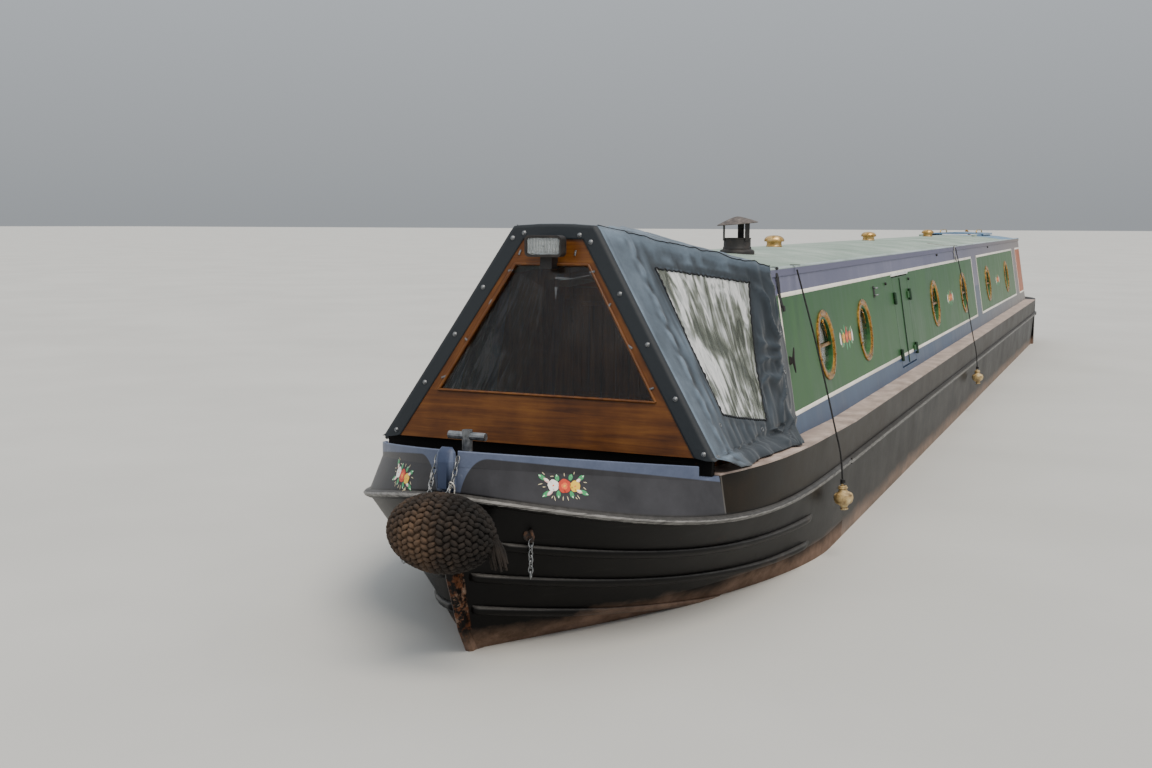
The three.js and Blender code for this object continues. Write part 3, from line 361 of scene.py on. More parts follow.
blacking = hull_steel("bitumen_blacking", False)
topside_gloss = hull_steel("topside_gloss_black", True)
dress(blacking, "base_plate", "fore_hull", "swim_port", "swim_starboard", "counter_plate_port",
      "counter_plate_starboard", "stern_post", "fore_deck", "gas_locker_lid", "fore_bulkhead", "rudder")
dress(topside_gloss, "fore_topside_port", "fore_topside_starboard", "hull_side_port",
      "hull_side_starboard", "counter", "stem_post")
print("hull painted")

# %% [markdown]
# ## Coach paint on the cabin sides
# Slate blue with green panels, in gloss enamel that has faded and that rain has streaked. The panels are
# set out in metres: two ramps with hard steps, one up the side and one along it, say what is green. Aft
# the slate has weathered to a warm grey. The inner faces carry the saloon's ash lining.

# %% Coach paint
PANEL_LOW, PANEL_HIGH = 1.387, 2.0055
PANELS = [(-6.15, -2.15), (-1.71, 6.20)]
END_PANEL = (-7.285, -6.62)
paint = Finish("coach_enamel", "#566f55", 0.42)
x, y, z = paint.parts()


def in_panels(*panels):
    """1 between the stations and heights of some panels, and 0 elsewhere."""
    ends = [((at + 8) / 16, tone) for panel in panels for at, tone in zip(panel, (1.0, 0.0))]
    along = paint.ramp(paint.span(x, -8, 8), (0, 0.0), *ends, hard=True)
    up = paint.ramp(paint.span(z, 1.2, 2.2), (0, 0.0), (PANEL_LOW - 1.2, 1.0), (PANEL_HIGH - 1.2, 0.0),
                    hard=True)
    return paint.calc("MULTIPLY", up, along)


streaks = paint.noise(1.3, 6, 0.6, paint.stretched((9, 9, 0.7)))
weather = paint.average(0.5, streaks, paint.noise(1.1, 5, 0.6))
green, low_slate, high_slate = (
    paint.ramp(weather, (0.32, dark), (0.5, plain), (0.7, pale))
    for dark, plain, pale in (("#224e29", "#2f5931", "#476c43"), ("#334660", "#3f526c", "#5a6a80"),
                              ("#555672", "#66677f", "#828296")))
fade = paint.span(x, -7.5, 0.5, 0.75, 0.0)
slate = paint.blend(paint.calc("GREATER_THAN", z, 1.7), low_slate, high_slate)
slate = paint.blend(fade, slate, "#8d8479")
green = paint.blend(paint.calc("MULTIPLY", fade, 0.3), green, "#8a9a74")
painted = paint.blend(in_panels(*PANELS), slate, green)
painted = paint.blend(in_panels(END_PANEL), painted, "#a8613f")
outwards = paint.calc("MULTIPLY", paint.facing()[1], y)
painted = paint.blend(paint.calc("LESS_THAN", outwards, -0.2), painted, "#a98557")
# Brush marks and the slight buckle of welded plate, 0.4 m from hollow to hollow.
buckle = paint.bump(paint.noise(2.5, 1), 0.35, 0.02)
coach = paint.done(Base_Color=painted, Roughness=paint.span(weather, 0.3, 0.7, 0.3, 0.55),
                   Normal=paint.bump(streaks, 0.05, 0.002, buckle), Specular_IOR_Level=0.22,
                   Coat_Weight=0.06, Coat_Roughness=0.15)
for side in SIDES:
    dress(coach, *[f"cabin_side_{side}_{part}" for part in ("fore", "middle", "aft")],
          *[f"side_hatch_{side}_{part}" for part in ("fore", "aft")])
print("cabin sides painted")

# %% [markdown]
# ## The roof
# Grey-green deck paint with silica sand in it, so that it isn't slippery: matt, with the grain drawn coarser than
# the real 1 mm so that it shows, washed-out puddle marks, and a paler edge rail, rubbed and with a painted
# highlight on its rounded top. The rail's outer face belongs to the slate band, and towards the stern the roof is
# painted blue.

# %% Roof paint
paint = Finish("non_slip_deck_paint", "#8d9c8f", 0.8)
x, y, z = paint.parts()
puddles, sand = paint.noise(1.8, 7, 0.62), paint.noise(170, 2, 0.6)
top = paint.blend(paint.span(x, -5.70, -5.69, 1.0, 0.0),
                  paint.ramp(puddles, (0.3, "#7f9185"), (0.5, "#95a59a"), (0.7, "#b3bfb5")),
                  paint.ramp(puddles, (0.35, "#5f7f9c"), (0.65, "#7f9ab2")))
top = paint.blend(1.0, top, paint.ramp(sand, (0.4, 0.78), (0.62, 1.08)), blend_type="MULTIPLY")
aside = paint.calc("ABSOLUTE", y)
# The edge rail is painted paler: rubbed wear, and a painted highlight on its rounded top.
rubbed = paint.calc("MULTIPLY", paint.span(aside, 0.722, 0.730), paint.span(puddles, 0.35, 0.6, 0.25, 0.8))
top = paint.blend(rubbed, top, "#aab6bd")
band = paint.calc("MULTIPLY", paint.calc("LESS_THAN", z, 2.142), paint.calc("GREATER_THAN", aside, 0.758))
slate = paint.blend(paint.span(x, -7.5, 0.5, 0.75, 0.0), "#66677f", "#8d8479")
roof_paint = paint.done(Base_Color=paint.blend(band, top, slate), Normal=paint.bump(sand, 0.5, 0.003))
dress(roof_paint, "cabin_roof")
print("roof painted")

# %% [markdown]
# ## Varnished hardwood
# The cratch board, the plank and the front doors are iroko under yacht varnish: orange-brown where the
# light comes through the varnish, dark where it has gone. Grain is noise drawn out twenty times along the
# board, and the boards run up the slanting stiles but across the rails, so two grains are mixed by height.

# %% Wood
def wood(name, tones, along, gloss=0.28):
    """Varnished wood; along is the axis of the grain, or "cratch" for stiles and rails."""
    timber = Finish(name, tones[1], gloss)
    x, y, z = timber.parts()
    scale = {"x": (1.6, 34, 34), "z": (34, 34, 1.6), "cratch": (34, 1.6, 34)}[along]
    flow = timber.stretched(scale)
    if along == "cratch":
        slant = timber.calc("MULTIPLY_ADD", z, 0.63, timber.calc("ABSOLUTE", y))
        stile = timber.stretched(scale, timber.node("CombineXYZ", {0: slant, 1: z, 2: x}).outputs[0])
        rail = timber.calc("MAXIMUM", timber.calc("LESS_THAN", z, 1.588), timber.calc("GREATER_THAN", z, 2.196))
        flow = timber.node("Mix", {0: rail, 4: stile, 5: flow}, data_type="VECTOR").outputs[1]
    grain = timber.noise(1.0, 8, 0.68, flow, 0.5)
    mixed = timber.average(0.35, grain, timber.noise(6, 4))
    return timber.done(Base_Color=timber.ramp(mixed, *zip((0.36, 0.5, 0.64), tones)),
                       Normal=timber.bump(grain, 0.25, 0.001), Specular_IOR_Level=0.3, Coat_Weight=0.15,
                       Coat_Roughness=0.12)


cratch_wood = wood("varnished_iroko", ("#41230f", "#5f3715", "#774b1f"), "cratch")
door_wood = wood("varnished_iroko_doors", ("#3f2210", "#734420", "#98653a"), "z")
plank_wood = wood("varnished_iroko_plank", ("#3a1f0e", "#6a4019", "#8d5c2c"), "x")
floor_boards = wood("oak_boards", ("#6a4d2d", "#8c6a41", "#a68352"), "x", 0.5)
dress(cratch_wood, "cratch_board")
dress(plank_wood, "cratch_plank")
dress(door_wood, "front_bulkhead", "front_door_port", "front_door_starboard")
dress(floor_boards, "cabin_floor")
print("wood varnished")

# %% [markdown]
# ## The gunwale, and the smaller paints and metals
# The gunwale is steel in taupe deck paint, scuffed by feet. The stern doors are slate enamel, and the slide is blue
# enamel.
# Brass gets its usual warm base colour, fully metallic, with brown tarnish in patches; galvanised steel
# is a dull zinc grey with a coarse spangle; bronze is darker and greener than brass.

# %% Simple finishes with their own wear
def finish_of(name, tones, roughness, metallic=0.0, size=0.05, bump=0.15, spread=0.15, coat=0.0):
    """A finish of three tones in patches of a size in metres, with roughness and bump that follow them."""
    stuff = Finish(name, tones[1], roughness, metallic)
    patches = stuff.noise(1 / size, 8, 0.65)
    return stuff.done(Base_Color=stuff.ramp(patches, *zip((0.34, 0.5, 0.68), tones)),
                      Roughness=stuff.span(patches, 0.3, 0.7, roughness - spread, roughness + spread),
                      Normal=stuff.bump(patches, bump, size / 20), Coat_Weight=coat)


gunwale_paint = finish_of("taupe_deck_paint", ("#8c7a70", "#a9968b", "#c4b3a8"), 0.55, size=0.14)
slate_enamel = finish_of("slate_enamel", ("#4d5870", "#5d677e", "#727b8e"), 0.4, size=0.3, coat=0.3)
hatch_blue = finish_of("hatch_blue_enamel", ("#5f7f9c", "#7090ac", "#86a2ba"), 0.45, size=0.3, coat=0.2)
brass = finish_of("brass", ("#7c5420", "#ab7c36", "#cda358"), 0.3, 1.0, size=0.03)
polished_brass = finish_of("polished_brass", ("#b08d4a", "#cdaa5e", "#dcbc72"), 0.2, 1.0, size=0.05,
                           spread=0.08)
cream_enamel = finish_of("cream_enamel", ("#cfc0a0", "#ded1b4", "#e8dec6"), 0.4, size=0.04, coat=0.3)
bronze = finish_of("bronze", ("#4c4a30", "#7d6535", "#94793f"), 0.42, 1.0, size=0.04)
galvanised = finish_of("galvanised_steel", ("#6f7173", "#86888a", "#9b9da0"), 0.45, 1.0, size=0.02)
stove_black = finish_of("stove_black_iron", ("#161413", "#211e1d", "#37302c"), 0.6, size=0.05, bump=0.3)
engine_enamel = finish_of("engine_enamel", ("#2c4636", "#3b5845", "#496954"), 0.4, size=0.1)
old_rope = finish_of("weathered_polypropylene_rope", ("#1b1612", "#2d2620", "#4b3e33"), 0.85, size=0.012,
                     bump=0.8)
cream_plastic = finish_of("weathered_cream_pvc", ("#6b5535", "#b39868", "#d6c294"), 0.5, size=0.035)
navy_vinyl = finish_of("navy_vinyl", ("#0d141a", "#131b22", "#1d262e"), 0.4, size=0.02, bump=0.2)
dress(gunwale_paint, "gunwale_port", "gunwale_starboard")
dress(slate_enamel, "rear_bulkhead", "rear_door_port", "rear_door_starboard")
dress(hatch_blue, "sliding_hatch")
dress(brass, "tiller")
dress(cream_enamel, "mushroom_vent_fore", "mushroom_vent_middle", "mushroom_vent_aft")
dress(bronze, "propeller")
dress(galvanised, "tee_stud")
dress(stove_black, "chimney", "headlamp")
dress(engine_enamel, "engine")
dress(old_rope, "bow_fender", "stern_fender")
dress(navy_vinyl, "cratch_cover")
dress(cream_plastic, *[f"side_fender_{side}_{end}" for side in SIDES for end in ("fore", "aft")])

# %% [markdown]
# ## Window glass
# Toughened float glass: clear, with the usual IOR of 1.45 to 1.52, and a little grime that shows only as
# roughness. A pane bends no light that shows, so half of it is let straight through by the alpha, which
# also lets daylight into the cabin.

# %% Glass
pane = Finish("window_glass", "#f4f7f6", 0.02)
glass = pane.done(Transmission_Weight=1.0, IOR=1.5, Alpha=0.5,
                  Roughness=pane.span(pane.noise(9, 5), 0.5, 0.8, 0.01, 0.09))
dress(glass, "cratch_glass")
print("finishes ready:", len(bpy.data.materials))

# %% [markdown]
# ## Working as by hand
# A new piece starts as a primitive at its place, is opened in edit mode and is shaped there. The helpers only save
# repeating the same few operator calls: choosing faces by a test of their middle, closing the piece with its
# shading and finish, setting it on its body, and copying one finished piece to the places of its repeats.

# %% Hand tools
def opened(name):
    """Names the primitive that was just added and opens it in edit mode with nothing selected."""
    piece = bpy.context.object
    piece.name = piece.data.name = name
    bpy.ops.object.mode_set(mode="EDIT")
    bpy.ops.mesh.select_all(action="DESELECT")
    return piece


def block(name, size, place=(0, 0, 0)):
    """A box of a size at a place, open in edit mode."""
    bpy.ops.mesh.primitive_cube_add(size=1, location=place, scale=size)
    return opened(name)


def pick(piece, test, kind="FACE"):
    """Selects the faces, edges or vertices of the open piece whose middle (and normal) pass a test."""
    bpy.ops.mesh.select_mode(type=kind)
    bpy.ops.mesh.select_all(action="DESELECT")
    bpy.ops.object.mode_set(mode="OBJECT")
    mesh = piece.data
    if kind == "FACE":
        for face in mesh.polygons:
            face.select = bool(test(face.center, face.normal))
    elif kind == "EDGE":
        for edge in mesh.edges:
            a, b = (mesh.vertices[i].co for i in edge.vertices)
            edge.select = bool(test((a + b) / 2, (b - a).normalized()))
    else:
        for vertex in mesh.vertices:
            vertex.select = bool(test(vertex.co, vertex.normal))
    bpy.ops.object.mode_set(mode="EDIT")


def shift(value):
    """Moves what is picked."""
    bpy.ops.transform.translate(value=value)


def resize(value, centre):
    """Scales what is picked about a place."""
    bpy.ops.transform.resize(value=value, center_override=centre)


def extrude(value):
    """Pulls the picked faces out."""
    bpy.ops.mesh.extrude_region_move(TRANSFORM_OT_translate={"value": value})


def bevel_all(offset, segments):
    """Rounds every edge of the open piece."""
    bpy.ops.mesh.select_all(action="SELECT")
    bpy.ops.mesh.bevel(offset=offset, segments=segments)


def alone(*pieces):
    """Selects only these pieces; the last one is active."""
    if bpy.context.object and bpy.context.object.mode == "EDIT":
        bpy.ops.object.mode_set(mode="OBJECT")
    bpy.ops.object.select_all(action="DESELECT")
    for piece in pieces:
        piece.select_set(True)
        bpy.context.view_layer.objects.active = piece


def modify(piece, kind, **settings):
    """Adds a modifier and applies it."""
    alone(piece)
    bpy.ops.object.modifier_add(type=kind)
    modifier = piece.modifiers[-1]
    for name, value in settings.items():
        setattr(modifier, name, value)
    bpy.ops.object.modifier_apply(modifier=modifier.name)


def closed(piece, material=None, smooth=35, outwards=True):
    """Puts the piece's place in its mesh, merges doubles, turns its faces outwards and smooths it."""
    alone(piece)
    bpy.ops.object.transform_apply(location=True, rotation=True, scale=True)
    bpy.ops.object.mode_set(mode="EDIT")
    bpy.ops.mesh.select_all(action="SELECT")
    bpy.ops.mesh.remove_doubles(threshold=1e-5)
    if outwards:
        bpy.ops.mesh.normals_make_consistent(inside=False)
    bpy.ops.object.mode_set(mode="OBJECT")
    bpy.ops.object.shade_smooth_by_angle(angle=math.radians(smooth))
    if material:
        piece.data.materials.clear()
        piece.data.materials.append(material)
    return piece


def ring(major, minor, around=20, across=8, **where):
    """A torus, still to be closed."""
    bpy.ops.mesh.primitive_torus_add(major_radius=major, minor_radius=minor, major_segments=around,
                                     minor_segments=across, **where)
    return bpy.context.object


def placed(piece, body="hull", stands_for=()):
    """Sets the finished piece on its body and hides the solids that it stands for."""
    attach(piece, body)
    if stands_for:
        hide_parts(*stands_for)
    return piece


def twin(piece, name, move=None):
    """A copy of a closed piece with its own mesh, moved by a matrix."""
    made = bpy.data.objects.new(name, piece.data.copy())
    bpy.context.collection.objects.link(made)
    if move is not None:
        made.data.transform(move)
    return made


def copies(piece, moves, name):
    """Copies a closed piece by each matrix, joins the copies as one object and takes the piece away."""
    made = [twin(piece, name, move) for move in moves]
    bpy.data.objects.remove(piece)
    return joined(name, *made)


def joined(name, *pieces):
    """Joins closed pieces into one object."""
    alone(*pieces)
    if len(pieces) > 1:
        bpy.ops.object.join()
    whole = bpy.context.object
    whole.name = whole.data.name = name
    return whole


def frame_at(place, out, up=(0, 0, 1)):
    """A matrix that puts a piece made at the origin, with its +Z outwards, at a place on a face."""
    z = Vector(out).normalized()
    x = Vector(up).cross(z).normalized()
    return Matrix.LocRotScale(Vector(place), Matrix((x, z.cross(x), z)).transposed().to_quaternion(), None)


def spin(degrees, axis="Z"):
    """A turn about an axis, as a matrix."""
    return Matrix.Rotation(math.radians(degrees), 4, axis)


def tube(name, points, radius, material=None, sides=8, ends=None, cyclic=False):
    """A round rod, cord or wire along a smooth line through points; ends are shares of the radius."""
    curve = bpy.data.curves.new(name, "CURVE")
    curve.dimensions = "3D"
    curve.bevel_depth = radius
    curve.bevel_resolution = max(sides // 4 - 1, 0) if sides > 4 else 0
    curve.resolution_u = 5
    curve.use_fill_caps = not cyclic
    spline = curve.splines.new("BEZIER")
    spline.bezier_points.add(len(points) - 1)
    spline.use_cyclic_u = cyclic
    for i, (point, place) in enumerate(zip(spline.bezier_points, points)):
        point.co = place
        point.handle_left_type = point.handle_right_type = "AUTO"
        if ends:
            point.radius = ends[0] + (ends[1] - ends[0]) * i / (len(points) - 1)
    rod = bpy.data.objects.new(name, curve)
    bpy.context.collection.objects.link(rod)
    alone(rod)
    bpy.ops.object.convert(target="MESH")
    return closed(bpy.context.object, material, 60)


print("hand tools ready")

# %% [markdown]
# ## The bow's lines
# The frame's bow is made of flat facets, and gloss paint would show each one. The real plates are bent in
# one sweep, so the fore end is plated again here from the frame's own lines, four times as finely: the
# stem's rake, the height of the sheer and of the strakes, and the plan of the side at several heights,
# each a power curve that starts at its own station and ends at the stem.

# %% Lines of the hull
BOW_START, STEM_TOP, NOSE = 5.550, 8.330, 0.020
# Heights of the plating's rows: the bilge, the low side and the sheer at the stem; and how closely the
# stations crowd towards the stem.
BILGE, LOW_SIDE, STEM_SHEER, CROWDING = 0.300, 0.700, 1.430, 1.7
# Each plan: the station where it starts, two powers and the half-breadth.
PLAN_LOW, PLAN_SHOULDER = (5.584, 1.36, 0.85, 0.978), (6.269, 2.21, 1.325, 1.024)
PLAN_STRAKE, PLAN_SHEER = (4.950, 5.17, 1.507, 1.024), (6.347, 2.307, 1.379, 1.029)


def clamp(value, low=0.0, high=1.0):
    return min(max(value, low), high)


def swept(low, rise, start, power):
    return lambda x: low + rise * clamp((x - start) / (STEM_TOP - start)) ** power


strake_height = swept(1.044, 0.247, 5.801, 3.72)
lower_strakes = [swept(0.869, 0.228, 6.229, 2.39), swept(0.721, 0.226, 6.650, 1.70),
                 swept(0.559, 0.240, 6.727, 1.56)]


def sheer(x):
    return 1.290 + 0.140 * (x - 7.530) / 0.780 if x > 7.530 else 1.256 + 0.034 * clamp((x - 5.400) / 1.250)


def stem_x(z):
    return STEM_TOP - 0.730 * clamp(1 - z / 1.1) ** 1.78


def breadth(plan, x, nose):
    start, p, q, half = plan
    return half * (1 - clamp((x - start) / (nose - start)) ** p) ** (1 / q)


def low_breadth(x, z):
    t = (clamp(z / strake_height(x), 0.3, 1) - 0.3) / 0.7
    return breadth([a * (1 - t) + b * t for a, b in zip(PLAN_LOW, PLAN_SHOULDER)], x, stem_x(z))


def half_breadth(x, z):
    strake = strake_height(x)
    if z <= WATERLINE:
        return low_breadth(x, z)
    if z <= strake:
        t = (z - WATERLINE) / (strake - WATERLINE)
        low = low_breadth(stem_x(WATERLINE) - (stem_x(z) - x), WATERLINE)
        return low * (1 - t) + breadth(PLAN_STRAKE, STEM_TOP - (stem_x(z) - x), STEM_TOP) * t
    t = clamp((z - strake) / (sheer(x) - 0.010 - strake))
    return breadth(PLAN_STRAKE, x, STEM_TOP) * (1 - t) + breadth(PLAN_SHEER, x, STEM_TOP) * t


def nose_x(z, y=NOSE):
    """Where the side is a given distance from the middle, found by halving."""
    aft, fore = stem_x(z) - 0.9, stem_x(z)
    for _ in range(30):
        middle = (aft + fore) / 2
        aft, fore = (middle, fore) if half_breadth(middle, z) > y else (aft, middle)
    return fore


STEM_STRAKE = strake_height(STEM_TOP)
NOSES = {z: nose_x(z) for z in (0.030, BILGE, WATERLINE, LOW_SIDE, STEM_STRAKE, STEM_SHEER)}


def station(s, z):
    """The X of a share of the way aft, from the nose at a height (0) to BOW_START (1)."""
    return NOSES[z] - (NOSES[z] - BOW_START) * s ** CROWDING


def hull_row(s):
    """Points up the port side, from the bottom to the sheer; s is 0 at the stem and 1 at BOW_START."""
    row = []
    for z in NOSES:
        x = station(s, z)
        level = {STEM_STRAKE: strake_height(x), STEM_SHEER: sheer(x) - 0.010}.get(z, z)
        row.append(Vector((x, max(NOSE, half_breadth(x, level)), level)))
    return row


def on_skin(s, z, off):
    """The point of the plating at a height, moved off it by a distance."""
    def at(t):
        row = hull_row(t)
        j = 0
        while j + 2 < len(row) and row[j + 1].z < z:
            j += 1
        return row[j].lerp(row[j + 1], (z - row[j].z) / (row[j + 1].z - row[j].z))

    point, a, b = at(s), at(max(s - 0.02, 0)), at(min(s + 0.02, 1))
    length = math.hypot(b.x - a.x, b.y - a.y)
    return Vector((point.x + off * (b.y - a.y) / length, point.y - off * (b.x - a.x) / length, z))


print("strake at the stem", round(STEM_STRAKE, 3), "nose", round(NOSES[STEM_SHEER], 3))

# %% [markdown]
# ## Plating the bow
# A plate or a bar is a row of closed outlines joined by faces, which is how a shipwright lofts it. Each side
# has its topside plate with the well's inner wall, the rounded rubbing strake at its knuckle, three lower
# strakes that fade out at their ends, and the cant, the upstand above the fore deck. Only edges sharper than
# a bent plate, such as those of the strakes, stay crisp.

# %% Lofted plates
def lofted(name, rings, material, smooth=24):
    """A closed body through rings of points with the same count."""
    count = len(rings[0])
    corners = [point for ring in rings for point in ring]
    sides = [(i * count + j, i * count + (j + 1) % count, (i + 1) * count + (j + 1) % count, (i + 1) * count + j)
             for i in range(len(rings) - 1) for j in range(count)]
    last = (len(rings) - 1) * count
    shape = bpy.data.meshes.new(name)
    shape.from_pydata(corners, [], sides + [tuple(range(count)), tuple(last + j for j in range(count))])
    body = bpy.data.objects.new(name, shape)
    bpy.context.collection.objects.link(body)
    return closed(body, material, smooth)


def bar_rings(height, half, proud, back, first, last, fade=0.03):
    """Rings of a half-round bar that follows a height line; it sinks into the plate at faded ends."""
    rings = []
    profile = [(-half, -back), (-half * 0.9, proud * 0.5), (-half * 0.5, proud * 0.95), (half * 0.1, proud),
               (half * 0.6, proud * 0.8), (half * 0.92, proud * 0.4), (half, -back)]
    for i in range(73):
        s = first + (last - first) * i / 72
        x = station(s, STEM_STRAKE)
        sink = soft(s, first, first + fade) * soft(s, last, last - fade) if fade else 1.0
        rings.append([on_skin(s, height(x) + dz, off if off < 0 else off * sink - 0.003 * (1 - sink))
                      for dz, off in profile])
    return rings


def handed(rings, side):
    return [[Vector((p.x, p.y * side, p.z)) for p in ring] for ring in rings]


def soft(value, low, high):
    t = clamp((value - low) / (high - low))
    return t * t * (3 - 2 * t)


steps = [i / 60 for i in range(61)]
shell, cant = [], []
for s in steps:
    row = hull_row(s)
    inner = [on_skin(s, z, -0.060) for z in (row[-1].z, LOW_SIDE)]
    shell.append(row[3:] + [Vector((max(p.x, BOW_START), max(p.y, NOSE), p.z)) for p in inner])
cant_first, cant_last = (((NOSES[STEM_SHEER] - x) / (NOSES[STEM_SHEER] - BOW_START)) ** (1 / CROWDING)
                         for x in (nose_x(STEM_SHEER, 0.043), 7.530))
for i in range(49):
    s = cant_first + (cant_last - cant_first) * i / 48
    x = station(s, STEM_SHEER)
    out, inn = (on_skin(s, sheer(x) - 0.011, off) for off in (0.0015, -0.014))
    cant.append([Vector((p.x, p.y, sheer(x) + rise)) for p, rise in
                 ((out, -0.016), (out, 0.045), (out.lerp(inn, 0.2), 0.048), (out.lerp(inn, 0.8), 0.048),
                  (inn, 0.045), (inn, -0.016))])
top_bar = bar_rings(strake_height, 0.020, 0.024, 0.014, 0.0, 1.0, fade=0)
for name, side in SIDES.items():
    plates = [lofted("plate", handed(shell, side), topside_gloss),
              lofted("cant", handed(cant, side), topside_gloss, 40),
              lofted("strake", handed(top_bar, side), topside_gloss, 40)]
    for height, first in zip(lower_strakes, (0.10, 0.03, 0.03)):
        plates.append(lofted("strake", handed(bar_rings(height, 0.021, 0.022, 0.020, first, 0.84), side),
                             topside_gloss, 50))
    plating = joined(f"bow_plating_{name}", *plates)
    placed(plating, stands_for=[f"fore_topside_{name}"])
bottom = [row[:4] + [Vector((p.x, -p.y, p.z)) for p in reversed(row[:4])] for row in map(hull_row, steps)]
placed(lofted("bow_bottom", bottom, blacking), stands_for=["fore_hull"])
print("bow plated,", len(plating.data.polygons), "faces a side")

# %% [markdown]
# ## Fair plating elsewhere
# The swim, the counter, the sides and the stem only need their facets shaded as one bend, so they are merged
# copies of their solids with smooth shading. A CAD node itself is never changed.

# %% Smooth copies
def faired(name, material, angle=24):
    """A merged, smoothly shaded copy of one solid that stands for it."""
    plate = twin(nodes[name], name + "_plating")
    return placed(closed(plate, material, angle), stands_for=[name])


for name, material in (("swim_port", blacking), ("swim_starboard", blacking), ("counter", topside_gloss),
                       ("stem_post", topside_gloss)):
    faired(name, material)
print("plating faired")

# %% [markdown]
# ## The cratch cover: its drawn lines
# The cratch is the tent over the fore end: a slanting glazed board at the front, a plank along the middle
# and a coated canvas drawn over both, down to studs on the gunwales. A cloth simulation would loosen what
# is laced tight here, so the sheet is drawn instead: a front outline round the board, a back outline round
# the end of the cabin, and straight threads between the two. k runs aft, 1 at the cabin's front, and s
# runs up the side (0 to 1) and over the top to the middle (1 to 2).

# %% Outlines of the cover
BOARD_FOOT, BOARD_LEAN, BOARD_THICK = 1.3603, 0.155, 0.036
FRONT_LINE = [(0, 0.842, 1.352), (1 / 3, 0.826, 1.362), (2 / 3, 0.512, 1.862), (1, 0.203, 2.362),
              (1.3, 0.170, 2.364), (1.6, 0.100, 2.368), (1.7, 0.095, 2.369), (2, 0, 2.370)]
BACK_LINE = [(0, 0.889, 1.300), (1 / 3, 0.876, 1.390), (2 / 3, 0.818, 1.740), (1, 0.765, 2.164),
             (1.3, 0.560, 2.214), (1.6, 0.380, 2.258), (1.8, 0.130, 2.322), (2, 0, 2.350)]
COVER_BACK, COVER_END = 6.360, 6.192
K_END = 1.16
# Metres of cloth in one k and in one s, and the height at which the foot hangs over the gunwale.
K_LONG, S_LONG = 1.08, 1.15
FOOT_HANG = 1.2975


def board_face(z):
    return 7.465 - BOARD_LEAN * (z - BOARD_FOOT)


def roof_height(y):
    """The top of the cabin roof, which is cambered."""
    return 2.141 + 0.064 * (1 - (y / 0.726) ** 2)


def between(line, s):
    """The (y, z) of an outline at s."""
    for (s0, *a), (s1, *b) in zip(line, line[1:]):
        if s <= s1:
            t = (s - s0) / (s1 - s0)
            return [a[i] * (1 - t) + b[i] * t for i in (0, 1)]
    return line[-1][1:]


def drawn(k, s):
    """The point of the tight cover, on the port side."""
    (y0, z0), (y1, z1) = between(FRONT_LINE, s), between(BACK_LINE, s)
    x0 = board_face(z0) - BOARD_THICK
    if k > 1:
        end = COVER_END + 0.166 * soft(s, 0.60, 0.98) + 0.08 * soft(s, 0.25, 0.0) - 0.02 * soft(s, 1.0, 1.1)
        past = (k - 1) / (K_END - 1)
        # Over the roof the ridge stands high, and a short gable closes the gap down to it.
        drop = (z1 - roof_height(y1) - 0.006) * soft(s, 1.0, 1.15)
        return Vector((COVER_BACK + (end - COVER_BACK) * past, y1, z1 - drop * past))
    return Vector((x0 + (COVER_BACK - x0) * k, y0 + (y1 - y0) * k, z0 + (z1 - z0) * k))


print("cover from", [round(v, 2) for v in drawn(0, 1)], "to", [round(v, 2) for v in drawn(K_END, 0)])

# %% [markdown]
# ## The cover: where the window is and how the cloth creases
# The clear window has slanting edges, so the rows and columns of the mesh are straight lines that run
# through its corners, and every crossing is worked out. Relief is added along the cloth's own normal: the
# gathered seam behind the board, loose creases round the window, deep folds where the cloth is bunched
# between the window and the cabin, and the hem, which curls outwards at the front corner.

# %% Window lines and relief
# Each line is (start, slope): k = start + slope * s for columns, s = start + slope * k for rows.
WINDOW_FORE, WINDOW_AFT = (0.3171, -0.0857), (0.6399, 0.2182)
WINDOW_LOW, WINDOW_HIGH = (0.475, -0.15), (0.8932, 0.0283)
# Where the cover is tied to the cabin, in metres along the cloth and up it.
TIE = (1.22, 0.73)


def outside_window(k, s):
    """Distance in metres outside the window's edge; less than nothing inside it."""
    return max((WINDOW_FORE[0] + WINDOW_FORE[1] * s - k) * K_LONG,
               (k - WINDOW_AFT[0] - WINDOW_AFT[1] * s) * K_LONG,
               (WINDOW_LOW[0] + WINDOW_LOW[1] * k - s) * S_LONG,
               (s - WINDOW_HIGH[0] - WINDOW_HIGH[1] * k) * S_LONG)


def wave(x, y, seed):
    return noise.noise(Vector((x, y, seed)))


